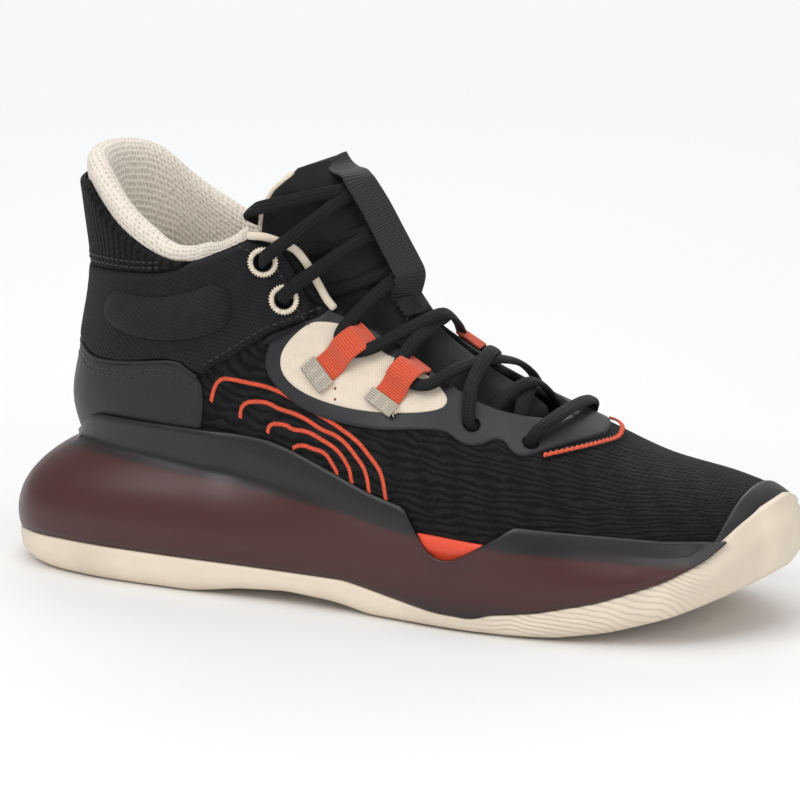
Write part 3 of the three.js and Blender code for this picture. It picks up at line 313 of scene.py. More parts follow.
def laid_panel(name, loops, low, thick, material, round_edge=0.8, spacing=2.2, skirt=0.6, crown=0.0,
               crown_reach=8.0, relief=None):
    """A sheet laid on the last over a region given in (station, girth): its edge is rounded off, and
    a skirt runs down from it. crown lifts the middle like a pad, and relief adds height of its own."""
    edge_steps = [share * round_edge for share in (0.3, 0.75, 1.4)]
    q, tris = fill_region([to_sheet(loop) for loop in loops], spacing, edge_steps)
    sg = from_sheet(q)
    rim = tree_of(np.vstack([off_last(s[:, 0], s[:, 1], np.zeros(len(s))) for s in loops]))
    gap = np.array([rim.find(p)[2] for p in on_last(sg[:, 0], sg[:, 1])])
    t = np.clip(gap / round_edge, 0, 1)
    height = low + thick * np.sqrt(np.clip(1 - (1 - t) ** 2, 0, 1))
    if crown:
        height = height + crown * np.sin(0.5 * math.pi * np.clip(gap / crown_reach, 0, 1)) ** 0.8
    if relief is not None:
        height = height + relief(sg)
    verts = off_last(sg[:, 0], sg[:, 1], height)
    a, b, c = verts[tris[0]]
    if np.dot(np.cross(b - a, c - a), last_normal(*sg[tris[0][0]])) < 0:
        tris = tris[:, ::-1]
    faces = [tuple(f) for f in tris]
    rim_edges = border_edges(faces)
    foot_of = {}
    for i in {i for e in rim_edges for i in e}:
        foot_of[i] = len(verts) + len(foot_of)
    above = list(foot_of)
    foot = off_last(sg[above, 0], sg[above, 1], np.full(len(above), low - skirt))
    faces += [(b, a, foot_of[a], foot_of[b]) for a, b in rim_edges]
    return new_mesh(name, np.vstack([verts, foot]), faces, material, uv=np.vstack([q, q[above]]) * MM)


def ring_faces(rows, around, closed=True):
    """Four-sided faces between rings of points, numbered ring by ring."""
    faces = []
    for r in range(rows - 1):
        for i in range(around if closed else around - 1):
            j = (i + 1) % around
            faces.append((r * around + i, r * around + j, (r + 1) * around + j, (r + 1) * around + i))
    return faces


def loft(name, rings, material, closed=True, values=None):
    """A skin through rings of points (rows x around x 3); closed joins each ring to itself."""
    rings = np.asarray(rings, float)
    rows, around = rings.shape[:2]
    u, v = (np.concatenate([[0], np.cumsum(np.linalg.norm(np.diff(rings, axis=k), axis=2).mean(1 - k))])
            for k in (1, 0))
    uv = np.stack(np.broadcast_arrays(u[None, :], v[:, None]), -1).reshape(-1, 2) * MM
    flat_values = {key: np.asarray(x).reshape(-1) for key, x in (values or {}).items()}
    return new_mesh(name, rings.reshape(-1, 3), ring_faces(rows, around, closed), material, uv, flat_values)


def turned_out(piece, weld_mm=None):
    """Turns a piece's faces outwards, after joining its doubled points where weld_mm is given."""
    bm = bmesh.new()
    bm.from_mesh(piece.data)
    if weld_mm:
        bmesh.ops.remove_doubles(bm, verts=bm.verts, dist=weld_mm * MM)
    bmesh.ops.recalc_face_normals(bm, faces=bm.faces)
    bm.to_mesh(piece.data)
    bm.free()
    piece.data.update()
    return piece


def carried(points, normals):
    """For each point of a path, the direction across a flat band that keeps to a surface."""
    along = np.gradient(points, axis=0)
    along /= np.linalg.norm(along, axis=1, keepdims=True) + 1e-12
    sides = []
    for i in range(len(points)):
        flat = np.cross(normals[i], along[i])
        size = float(np.dot(flat, flat))
        before = sides[-1] if sides else flat / (math.sqrt(size) + 1e-12)
        if np.dot(flat, before) < 0:
            flat = -flat
        weight = size**2 / 2
        side = before * (1 - weight) + flat / (math.sqrt(size) + 1e-12) * weight
        side = side - along[i] * np.dot(side, along[i])
        sides.append(side / np.linalg.norm(side))
    return np.array(sides), along


def band(name, points, normals, width, thick, material, around=20, squareness=3.0):
    """A flat cord or webbing along a path, with a rounded section and closed, rounded ends. width is
    one number or one for each point."""
    sides, along = carried(points, normals)
    ups = np.cross(along, sides)
    turn = np.linspace(0, 2 * math.pi, around, endpoint=False)
    across, up = (np.sign(c) * np.abs(c) ** (2 / squareness) for c in (np.cos(turn), np.sin(turn)))
    half = np.broadcast_to(np.asarray(width, float) / 2, len(points))
    rings = (points[:, None] + (half[:, None] * across)[..., None] * sides[:, None]
             + (up * thick / 2)[None, :, None] * ups[:, None])
    for shrink, push in ((0.72, 0.55), (0.0, 0.62)):
        caps = [points[end] + way * along[end] * thick * push * 0.5 + (rings[end] - rings[end].mean(0)) * shrink
                for end, way in ((0, -1), (-1, 1))]
        rings = np.concatenate([caps[:1], rings, caps[1:]])
    return turned_out(loft(name, rings, material))


# ---------------------------------------------------------------------------------------------
# Materials
# ---------------------------------------------------------------------------------------------
def add_node(tree, kind, sockets=None, **settings):
    """A new node with its settings; each input socket takes a value or a link."""
    node = tree.nodes.new(kind)
    for key, value in settings.items():
        setattr(node, key, value)
    for key, value in (sockets or {}).items():
        if isinstance(value, bpy.types.NodeSocket):
            tree.links.new(value, node.inputs[key])
        elif value is not None:
            node.inputs[key].default_value = value
    return node


def dim(color, share):
    return tuple(c * share for c in color)


class Recipe:
    """A node material under construction, with short ways to add its textures."""

    def __init__(self, name, color, roughness, sheen=0.0, coat=0.0, specular=0.5, coords="UV"):
        self.material = bpy.data.materials.new(name)
        self.material.use_nodes = True
        self.tree = self.material.node_tree
        self.shader, self.output = (next(n for n in self.tree.nodes if n.type == kind)
                                    for kind in ("BSDF_PRINCIPLED", "OUTPUT_MATERIAL"))
        start = {"Base Color": (*color, 1), "Roughness": roughness, "Specular IOR Level": specular,
                 "Sheen Weight": sheen, "Sheen Roughness": 0.5, "Coat Weight": coat, "Coat Roughness": 0.3}
        for key, value in start.items():
            self.shader.inputs[key].default_value = value
        self.place = self.add("ShaderNodeTexCoord").outputs[coords]
        self.normal = None

    def add(self, kind, sockets=None, **settings):
        return add_node(self.tree, kind, sockets, **settings)

    def set(self, key, value):
        """Links a value to one of the shader's inputs."""
        self.tree.links.new(value, self.shader.inputs[key])

    def math(self, kind, a, b=0.0, c=None):
        return self.add("ShaderNodeMath", {0: a, 1: b, 2: c}, operation=kind).outputs[0]

    def plus(self, a, b):
        return self.math("ADD", a, b)

    def minus(self, a, b):
        return self.math("SUBTRACT", a, b)

    def times(self, a, b):
        return self.math("MULTIPLY", a, b)

    def most(self, a, b):
        return self.math("MAXIMUM", a, b)

    def scaled(self, value, by, start):
        return self.math("MULTIPLY_ADD", value, by, start)

    def axis(self, which):
        return self.add("ShaderNodeSeparateXYZ", {0: self.place}).outputs[which]

    def noise(self, scale, detail=2.0, rough=0.5):
        sockets = {"Scale": scale, "Detail": detail, "Roughness": rough, "Vector": self.place}
        return self.add("ShaderNodeTexNoise", sockets).outputs["Fac"]

    def cells(self, scale, feature="F1", randomness=1.0):
        sockets = {"Scale": scale, "Randomness": randomness, "Vector": self.place}
        return self.add("ShaderNodeTexVoronoi", sockets, feature=feature).outputs["Distance"]

    def wave(self, value, pitch):
        """A sine of a length, one turn every pitch metres, from 0 to 1."""
        return self.scaled(self.math("SINE", self.times(value, 2 * math.pi / pitch)), 0.5, 0.5)

    def ramp(self, value, stops):
        node = self.add("ShaderNodeValToRGB", {"Fac": value})
        while len(node.color_ramp.elements) < len(stops):
            node.color_ramp.elements.new(0.5)
        for element, (at, color) in zip(node.color_ramp.elements, stops):
            element.position = at
            element.color = (*color, 1)
        return node.outputs["Color"]

    def color(self, value, dark, light, at=(0.0, 1.0)):
        self.set("Base Color", self.ramp(value, [(at[0], dark), (at[1], light)]))

    def roughness(self, value, low, high):
        self.set("Roughness", self.scaled(value, high - low, low))

    def bump(self, value, depth_mm, strength=1.0):
        sockets = {"Strength": strength, "Distance": depth_mm * MM, "Height": value, "Normal": self.normal}
        self.normal = self.add("ShaderNodeBump", sockets).outputs["Normal"]
        self.set("Normal", self.normal)

    def attribute(self, name):
        return self.add("ShaderNodeAttribute", attribute_name=name).outputs["Fac"]

    def blend(self, share, first, second):
        """Shows a mix of two shaders instead of the one."""
        both = self.add("ShaderNodeMixShader", {0: share, 1: first, 2: second})
        self.tree.links.new(both.outputs[0], self.output.inputs["Surface"])


FINISHES = {}


def finish(name):
    """The named finish, made once."""
    if name not in FINISHES:
        FINISHES[name] = MAKERS[name](name, bpy.context.scene.high_top_finish)
    return FINISHES[name]


def engineered_knit(name, f):
    """Open black knit: leaning ribs that wander, over a fine yarn grid, with painted highlights on the ribs and
    painted shade between them and in its pore holes.
    """
    r = Recipe(name, f.black, 0.85, sheen=0.03, specular=0.2)
    u, v = r.axis(0), r.axis(1)
    drift = r.times(r.noise(150, 2.0, 0.55), 0.0062)
    rib = r.wave(r.plus(r.plus(v, r.times(u, 0.35)), drift), 0.0024)
    breaks = r.wave(r.plus(r.minus(u, r.times(v, 0.3)), drift), 0.0064)
    cord = r.times(rib, r.scaled(breaks, 0.55, 0.45))
    yarn = r.times(r.wave(u, 0.00105), r.wave(v, 0.0009))
    # The colour follows the rib height: raised ribs are painted lighter as highlights, the hollows and pore holes
    # darker as painted shade.
    pore_shade = r.math("LESS_THAN", r.plus(cord, r.times(yarn, 0.35)), 0.26)
    r.color(r.minus(r.scaled(cord, 0.8, 0.2), r.times(pore_shade, 0.5)), (0.0016, 0.0016, 0.0019),
            (0.0125, 0.0125, 0.0145))
    r.bump(cord, 0.34, 0.9)
    r.bump(yarn, 0.26, 0.8)
    return r.material


def fine_rib_knit(name, f):
    """Dense dark rib knit of the heel tab."""
    r = Recipe(name, f.black, 0.88, sheen=0.03, specular=0.2)
    u, v = r.axis(0), r.axis(1)
    rib = r.wave(r.plus(v, r.times(r.noise(160, 1.0), 0.0012)), 0.0022)
    loop = r.wave(r.plus(u, r.times(rib, 0.0005)), 0.0013)
    height = r.times(rib, r.scaled(loop, 0.5, 0.5))
    # The colour follows the knit height: raised loops are painted lighter as highlights, the hollows darker as
    # painted shade.
    r.color(height, (0.0015, 0.0015, 0.0018), (0.012, 0.012, 0.014))
    r.bump(height, 0.4, 0.9)
    return r.material


def plain(name, color, rough, bumps, tone=None, shine=None, coords="UV", **looks):
    """A finish of fine textures: bumps are ((kind, *its numbers), depth, strength), tone and shine
    (scale, detail, low, high) for the colour and the roughness."""
    r = Recipe(name, color, rough, coords=coords, **looks)
    for (kind, *numbers), depth, strength in bumps:
        r.bump(getattr(r, kind)(*numbers), depth, strength)
    if tone:
        r.color(r.noise(*tone[:2]), *tone[2:], (0.3, 0.7))
    if shine:
        r.roughness(r.noise(*shine[:2]), *shine[2:])
    return r.material


def thread(name, color):
    return plain(name, color, 0.55, [(("noise", 2600), 0.08, 0.6)], (900, 2.0, dim(color, 0.7), color),
                 coords="Object", sheen=0.2)


def woven(name, dark, light, pitch, rough, sheen, depth):
    """Close cloth with an over-and-under weave."""
    r = Recipe(name, light, rough, sheen=sheen, specular=0.3)
    u, v = r.axis(0), r.axis(1)
    across, down = r.wave(r.plus(u, v), pitch), r.wave(r.minus(u, v), pitch)
    height = r.most(r.times(across, across), r.times(down, 0.85))
    # Random tone plus the weave height: raised threads are painted lighter as highlights, the hollows darker as
    # painted shade.
    r.color(r.math("MULTIPLY_ADD", r.noise(340, 3.0), 0.5, r.times(height, 0.55)), dark, light, (0.15, 0.85))
    r.bump(height, depth, 0.85)
    r.bump(r.noise(60, 2.0), 0.35, 0.2)
    return r.material


def spacer_mesh(name, f):
    """Cream spacer mesh: a honeycomb of small sunk holes, with painted shade in them."""
    r = Recipe(name, f.lining, 0.9, sheen=0.3)
    hole = r.cells(520, "F1", 0.25)
    # The holes are painted darker: painted shade in the sunk holes.
    r.color(hole, dim(f.lining, 0.62), f.lining, (0.10, 0.42))
    r.bump(hole, 0.7, 0.9)
    r.bump(r.noise(1500, 1.0), 0.06, 0.5)
    return r.material


def webbing(name, dark, light, pitch):
    """Grosgrain: ribs straight across the band, with a fine twist in each."""
    r = Recipe(name, light, 0.75, sheen=0.2)
    u, v = r.axis(0), r.axis(1)
    twist = r.wave(r.plus(u, r.times(v, 0.6)), pitch * 0.55)
    height = r.times(r.wave(v, pitch), r.scaled(twist, 0.35, 0.65))
    # The colour follows the rib height: raised ribs are painted lighter as highlights, the hollows darker as painted
    # shade.
    r.color(height, dark, light, (0.05, 0.8))
    r.bump(height, 0.3, 0.9)
    return r.material


def braided_lace(name, f):
    """Braided lace: crossed strands along it, with two raised dotted tracers on each face."""
    r = Recipe(name, (0.012, 0.012, 0.013), 0.75, sheen=0.04, specular=0.25)
    u, v = r.axis(0), r.axis(1)
    one, two = r.wave(r.plus(u, v), 0.0011), r.wave(r.minus(u, v), 0.0011)
    strands = r.most(one, r.times(two, 0.85))
    face = r.minus(r.math("MODULO", u, 0.0061), 0.00305)
    off = r.math("ABSOLUTE", r.minus(r.math("ABSOLUTE", face), 0.00075))
    tracer = r.most(r.minus(1.0, r.times(off, 2600.0)), 0.0)
    height = r.plus(r.times(strands, 0.4), r.times(tracer, r.wave(v, 0.00115)))
    # The colour follows the height: raised strands and tracers are painted lighter as highlights, the hollows darker
    # as painted shade.
    r.color(height, (0.0012, 0.0012, 0.0014), (0.017, 0.017, 0.019), (0.1, 1.0))
    r.bump(height, 0.3, 1.0)
    return r.material


def tread_rubber(name, f):
    """Cream outsole rubber, with fine wandering grip lines where the ball of the foot is, and painted shade in their
    grooves.
    """
    r = Recipe(name, f.cream, 0.52, specular=0.4, coords="Object")
    drift, wander = r.times(r.noise(26, 1.0), 0.016), r.times(r.noise(85, 1.0), 0.0022)
    height = r.plus(r.axis(2), r.times(r.axis(1), 0.5))
    line = r.wave(r.plus(r.plus(height, drift), wander), 0.0017)
    groove = r.times(r.math("POWER", line, 3.0), r.attribute("grip"))
    r.bump(groove, 0.3, 0.8)
    r.bump(r.noise(800, 2.0), 0.05, 0.5)
    # Random tone, and painted shade that darkens the grip grooves.
    r.color(r.minus(r.noise(24, 3.0), r.times(groove, 0.22)), dim(f.cream, 0.72), f.cream, (0.1, 0.55))
    return r.material


def smoky_shell(name, f):
    """Smoky see-through shell: wine-brown over the foam, dark grey where it rises over the cloth, at
    its lower edge and at the heel."""
    r = Recipe(name, f.shell_low, 0.34, coat=0.25, coords="Object")
    over_core = r.attribute("over_core")
    low = r.most(r.scaled(r.axis(2), -40, 0.86), 0.0)
    back = r.most(r.scaled(r.axis(0), -22, -0.95), 0.0)
    tone = r.minus(r.plus(over_core, r.scaled(r.noise(14, 2.0), 0.18, -0.09)), r.plus(low, back))
    r.set("Base Color", r.ramp(tone, [(0.0, (0.009, 0.009, 0.010)), (0.42, (0.018, 0.014, 0.014)),
                                      (0.66, f.shell_low), (1.0, dim(f.shell_low, 1.25))]))
    r.bump(r.noise(900, 2.0), 0.035, 0.5)
    r.roughness(r.noise(120, 2.0), 0.34, 0.44)
    clear = r.add("ShaderNodeBsdfTransparent", {"Color": (0.60, 0.42, 0.40, 1)})
    r.blend(r.scaled(over_core, 0.05, 0.15), r.shader.outputs[0], clear.outputs[0])
    return r.material


MAKERS = {made.__name__: made for made in (engineered_knit, fine_rib_knit, spacer_mesh, braided_lace, tread_rubber,
                                           smoky_shell)}
MAKERS |= {
    "bonded_film": lambda n, f: plain(
        n, (0.013, 0.013, 0.015), 0.46, [(("noise", 1400), 0.05, 0.5), (("noise", 70), 0.25, 0.25)],
        (45, 3.0, (0.011, 0.011, 0.013), (0.019, 0.019, 0.022)), (220, 3.0, 0.40, 0.56), specular=0.4),
    "synthetic_leather": lambda n, f: plain(
        n, (0.009, 0.009, 0.010), 0.42, [(("cells", 900, "SMOOTH_F1"), 0.09, 0.6), (("noise", 55), 0.5, 0.25)],
        (30, 2.0, (0.005, 0.005, 0.006), (0.010, 0.010, 0.011)), (260, 2.0, 0.36, 0.52), specular=0.45),
    "toe_film": lambda n, f: plain(
        n, (0.014, 0.014, 0.016), 0.38, [(("noise", 60), 0.2, 0.2), (("noise", 1200, 1.0), 0.03, 0.4)],
        shine=(180, 2.0, 0.34, 0.48), specular=0.45),
    "core_foam": lambda n, f: plain(
        n, f.core, 0.5, [(("cells", 650, "SMOOTH_F1"), 0.12, 0.5)], (30, 3.0, dim(f.core, 0.85), f.core),
        coords="Object"),
    "board_fibre": lambda n, f: plain(
        n, (0.55, 0.50, 0.41), 0.9, [(("noise", 700, 3.0), 0.15, 0.7)],
        (120, 4.0, (0.40, 0.36, 0.29), (0.60, 0.55, 0.46)), coords="Object"),
    "lining_cloth": lambda n, f: plain(
        n, (0.05, 0.05, 0.052), 0.9, [(("cells", 700, "F1", 0.4), 0.2, 0.6)],
        (300, 2.0, (0.03, 0.03, 0.032), (0.07, 0.07, 0.072)), coords="Object", sheen=0.2),
    "moulded_plastic": lambda n, f: plain(
        n, (0.015, 0.015, 0.016), 0.32, [(("noise", 900), 0.04, 0.4)], shine=(200, 2.0, 0.28, 0.4),
        coords="Object"),
    "collar_cloth": lambda n, f: woven(n, (0.0022, 0.0022, 0.0026), (0.015, 0.015, 0.018), 0.0012, 0.88, 0.03, 0.3),
    "pod_cloth": lambda n, f: woven(n, (0.003, 0.003, 0.0035), (0.018, 0.018, 0.021), 0.0010, 0.85, 0.04, 0.25),
    "tongue_cloth": lambda n, f: woven(n, (0.0035, 0.0035, 0.004), (0.012, 0.012, 0.014), 0.0009, 0.72, 0.03, 0.12),
    "cream_cloth": lambda n, f: woven(n, dim(f.cream, 0.78), f.cream, 0.0008, 0.85, 0.25, 0.12),
    "insole_cloth": lambda n, f: woven(n, (0.008, 0.008, 0.009), (0.035, 0.034, 0.036), 0.0014, 0.85, 0.2, 0.2),
    "black_webbing": lambda n, f: webbing(n, (0.0015, 0.0015, 0.0018), (0.014, 0.014, 0.016), 0.0011),
    "orange_webbing": lambda n, f: webbing(n, dim(f.orange, 0.55), f.orange, 0.0010),
    "tab_webbing": lambda n, f: webbing(n, (0.30, 0.26, 0.20), (0.60, 0.54, 0.45), 0.0009),
    "black_thread": lambda n, f: thread(n, (0.011, 0.011, 0.012)),
    "orange_thread": lambda n, f: thread(n, f.orange),
    "cream_thread": lambda n, f: thread(n, f.cream),
    "red_thread": lambda n, f: thread(n, (0.22, 0.012, 0.010)),
}


# ---------------------------------------------------------------------------------------------
# Outlines of the upper, as (station, girth) with girth positive, or x and height from the side
# ---------------------------------------------------------------------------------------------
TOP_LINE = [[10, 147.5], [24, 146], [32, 139.5], [41, 132], [52, 126], [62, 122.5], [73, 122], [85, 126.5],
            [96, 131.5], [101, 134.5]]
THROAT = [[4.15, 0], [4.3, 0.05], [4.7, 0.1], [5.2, 0.13], [6, 0.135], [7, 0.145], [8, 0.175], [8.9, 0.215],
          [9.4, 0.225], [10.1, 0.23], [10.8, 0.25], [11.3, 0.29], [11.6, 0.33]]
FILM_EDGE = [[9.05, 0.27], [9.15, 0.31], [9.2, 0.34], [9.0, 0.36], [8.7, 0.38], [8.2, 0.395], [7.6, 0.398],
             [7.0, 0.38], [6.4, 0.345], [5.85, 0.295], [5.5, 0.268], [5.25, 0.272], [5.05, 0.268], [4.88, 0.245],
             [4.78, 0.22], [4.65, 0.214], [4.5, 0.23], [4.32, 0.232], [4.12, 0.195], [3.92, 0.14], [3.72, 0.07],
             [3.62, 0]]
PANEL_EDGE = [[8.95, 0.265], [8.98, 0.3], [8.8, 0.34], [8.45, 0.366], [8.05, 0.376], [7.6, 0.37], [7.1, 0.35],
              [6.65, 0.322], [6.25, 0.288], [5.9, 0.25], [5.72, 0.215], [5.78, 0.185], [6.1, 0.168], [6.5, 0.166],
              [6.9, 0.18], [7.25, 0.195], [7.65, 0.2], [8.1, 0.212], [8.55, 0.23]]
COUNTER_TOP = [[6, 88], [19, 84.5], [29, 81.5], [44, 82], [59, 84], [66, 84], [71, 82], [75, 79.8]]
SEAM = [[77, 80.5], [82, 84], [88, 88], [99, 95], [110, 99.5], [120, 103.5]]
TAB_LOW = [[8, 115], [20, 115], [34, 115.5], [47, 116], [60, 117], [67, 119], [74, 122.5]]
POD = [[41, 108], [53, 108], [66, 109], [76, 112], [82, 115], [87.5, 112], [89, 106], [87, 100], [80, 96],
       [70, 93.5], [58, 92], [46, 93], [39, 95.5], [36.5, 101.5]]
TOE_GUARD = [[1.42, 0], [1.42, 0.1], [1.45, 0.24], [1.55, 0.38], [1.7, 0.5], [1.82, 0.62]]
EYELETS = {"toe": (4.3, 0.182), "second": (5.2, 0.215), "ankle": (9.8, 0.298), "top": (10.9, 0.328)}
LOOPS = {"lower": (6.6, 0.0), "upper": (7.83, 0.038)}
ARCH = [[0.335, 0], [0.305, 0], [0.277, 0.1], [0.26, 1.3], [0.247, 3.1], [0.233, 3.9], [0.205, 3.9], [0.19, 3.1],
        [0.177, 1.3], [0.166, 0.1], [0.156, 0]]
RIM_RADIUS = 4.6
OUTER, INNER = -1, 1
SIDES = (("lateral", OUTER), ("medial", INNER))


def smoothed(pairs, step=1.2, closed=False):
    """A (station, girth) path made smooth and even on the sheet plane."""
    return from_sheet(curve_through(to_sheet(np.array(pairs, float)), step, closed))


def eased(pairs):
    """Side-view points as (station, girth), along a smooth even path."""
    return smoothed(from_side(pairs), 1.6)


def round_heel(bottom, top):
    """A closed region round the heel from two outer-side edges, each from the heel forwards."""
    bottom, top = np.asarray(bottom, float), np.asarray(top, float)
    inner_low, inner_top = bottom - [0, 2], top - [0, 2]
    return np.vstack([inner_low[:0:-1], [[bottom[0, 0], -1.0]], bottom[1:] * [1, -1], top[:0:-1] * [1, -1],
                      [[top[0, 0], -1.0]], inner_top[1:]])


def ring_on_last(place, side, radius, count=28):
    """A round hole's outline on the last, as (station, girth)."""
    s, g = place
    a = np.linspace(0, 2 * math.pi, count, endpoint=False)
    e = 1e-3
    ds = np.linalg.norm(on_last(s + e, g * side) - on_last(s - e, g * side)) / (2 * e)
    dg = np.linalg.norm(on_last(s, (g + e) * side) - on_last(s, (g - e) * side)) / (2 * e)
    return np.stack([s + radius * np.cos(a) / ds, side * (g + radius * np.sin(a) / dg)], -1)


# ---------------------------------------------------------------------------------------------
# The sole, worked out from its outline. Heights go against x.
# ---------------------------------------------------------------------------------------------
SOLE_OUTLINE = [[294, 10], [288, 29], [271, 45], [246, 53], [215, 54], [180, 49], [145, 43], [105, 41], [65, 43],
                [30, 45], [5, 39], [-10, 23], [-15, 0], [-10, -24], [5, -41], [30, -48], [65, -50], [105, -50],
                [145, -51], [180, -54], [215, -54], [245, -48], [271, -36], [288, -13]]
TREAD = [[-15, 10], [-8, 4.5], [0, 1.4], [9, 0], [76, 0], [95, 3], [115, 4.5], [135, 3], [150, 0], [205, 0],
         [222, 0.9], [240, 4], [260, 9.6], [277, 16.6], [294, 24]]
EDGE = [[-15, 10.5], [0, 13.5], [20, 14], [140, 13], [161, 9], [177, 6.2], [192, 5.6], [199, 8], [216, 10.5],
        [239, 16], [261, 24], [274, 31], [284, 41], [294, 47]]
CAGE = [[-15, 46], [3, 49], [17, 55], [31, 64], [46, 73], [55, 76.5], [63, 77], [72, 75], [93, 65], [120, 56],
        [150, 46], [163, 43], [201, 40.5], [217, 39.5], [240, 38], [262, 36.5], [274, 36.4], [294, 36.2]]
FOAM_TOP = [[-15, 43], [3, 45], [22, 47], [50, 45.5], [100, 42], [142, 38], [165, 34.2], [180, 33.4], [200, 32.4],
            [246, 30.5], [262, 29.5], [294, 29]]
WINDOW = [[159, 60], [161, 56], [165, 43], [170, 34.5], [174.5, 28], [179, 25.6], [185, 26], [192, 30], [200, 35],
          [206, 39], [210, 56], [211, 60]]
CAGE_FRONT = 279  # the cage arms end here, against the toe bumper
CAGE_WALL = 2.4
NOTCH_ROUND = 1.8  # how softly the window cuts the shell's top edge
LIP_WALL = 3.2
LIP_ROUND = 0.9
SOLE_CUTS = 14  # samples between two points of the outline


class Sole:
    """The sole outline finely sampled, with the heights and insets that go with each point."""

    def __init__(self):
        rows = np.array(SOLE_OUTLINE, float)
        k = np.arange(len(rows) * SOLE_CUTS) / SOLE_CUTS
        self.p = self.place(rows, k)
        ahead = self.place(rows, k + 0.05) - self.place(rows, k - 0.05)
        ahead /= np.linalg.norm(ahead, axis=1, keepdims=True)
        self.out = np.stack([ahead[:, 1], -ahead[:, 0]], -1)
        self.x = x = self.p[:, 0]
        self.edge = soft_profile(EDGE, x, 2.5)
        self.core = soft_profile(FOAM_TOP, x, 4)
        self.foam = np.maximum(self.core, self.edge + 1)
        self.cage = np.maximum(soft_profile(CAGE, x, 3), self.foam + 5)
        self.stand = mix(1.6, 0, smooth(x, 80, 94))
        self.toe = smooth(x, 250, 268)
        self.heel = 1 - smooth(x, -10, 40)
        self.tread = soft_profile(TREAD, x - 9 * self.out[:, 0], 2)
        self.lip = mix(1.6, 2.2, self.toe)
        self.tread_inset = mix(mix(7, 10, self.heel), 8, self.toe)
        self.above = self.hug(self.foam + 2.5)
        self.middle = self.hug((self.foam + 2.5 + self.cage) / 2)
        self.top = self.hug(self.cage)
        self.rim_on_last = self.hug(np.minimum(self.edge, 44))

    @staticmethod
    def place(rows, k):
        i = np.floor(k).astype(int)
        return catmull(*(rows[(i + j) % len(rows)] for j in (-1, 0, 1, 2)), (k - i)[:, None])

    def level(self, inset, z):
        flat = self.p - self.out * np.broadcast_to(inset, self.x.shape)[:, None]
        return np.column_stack([flat, np.broadcast_to(z, self.x.shape)])

    def shift(self, points, d):
        moved = points.copy()
        moved[:, :2] += self.out * np.broadcast_to(d, self.x.shape)[:, None]
        return moved

    def hug(self, z):
        """Where a level line from each outline point, straight inwards, meets the last at height z."""
        a0, b0 = np.meshgrid(np.arange(0.05, 12, 0.25), np.arange(-0.98, 1, 0.05), indexing="ij")
        a0, b0 = a0.ravel(), b0.ravel()
        q = on_last(a0, b0)
        aside = np.stack([-self.out[:, 1], self.out[:, 0]], -1)
        d = q[None, :, :2] - self.p[:, None, :]
        within = -(d * self.out[:, None, :]).sum(-1)
        score = np.abs((d * aside[:, None, :]).sum(-1)) + np.abs(q[None, :, 2] - z[:, None]) + 0.05 * within
        score[(within > 60) | (within < -12)] = 1e9
        best = score.argmin(1)
        a, b = a0[best], b0[best]

        def error(a, b):
            q = on_last(a, b)
            return ((q[:, :2] - self.p) * aside).sum(-1), q[:, 2] - z

        for _ in range(16):
            e0, e1 = error(a, b)
            h = 1e-3
            a_0, a_1 = ((v - e) / h for v, e in zip(error(a + h, b), (e0, e1)))
            b_0, b_1 = ((v - e) / h for v, e in zip(error(a, b + h), (e0, e1)))
            det = a_0 * b_1 - b_0 * a_1
            det = np.where(np.abs(det) < 1e-9, 1e9, det)
            a = np.clip(a - np.clip((e0 * b_1 - e1 * b_0) / det, -0.4, 0.4), 0.02, TOP)
            b = np.clip(b - np.clip((e1 * a_0 - e0 * a_1) / det, -0.05, 0.05), -0.999, 0.999)
        return on_last(a, b)

    def side(self, share):
        """The cage's outer face, from the outsole edge (0) up to where it lies on the upper (1)."""
        rise = self.foam - self.edge
        low = self.level(self.lip, self.edge + 0.3)
        c1 = self.level(mix(-1.2, 1.5, self.toe), self.edge + 0.3 * rise)
        c2 = self.level(mix(1.2, 2.0, self.toe), self.edge + 0.75 * rise)
        top = self.shift(self.above, CAGE_WALL + self.stand)
        t = share
        return low * (1 - t) ** 3 + c1 * 3 * t * (1 - t) ** 2 + c2 * 3 * t * t * (1 - t) + top * t**3

    def rim(self):
        on_toe = self.shift(self.rim_on_last, 3.2)
        on_toe[:, 2] = self.edge
        wrap = smooth(self.x, 268, 284)[:, None]
        return mix(self.level(self.lip, self.edge), on_toe, wrap)


def flat_fill(rim, spacing, height):
    """A floor inside a closed rim, with an inner grid of points; height gives z from x and y."""
    flat = rim[:, :2]
    verts, tris = fill_region([flat], spacing, [0.6 * spacing])
    return np.column_stack([verts, height(verts[:, 0], verts[:, 1])]), tris


def joined(parts):
    """Several (verts, faces) as one."""
    verts, faces, start = [], [], 0
    for v, f in parts:
        verts.append(np.asarray(v))
        faces += [tuple(int(i) + start for i in face) for face in f]
        start += len(v)
    return np.vstack(verts), faces


SOLE = None


def sole():
    global SOLE
    if SOLE is None:
        SOLE = Sole()
    return SOLE


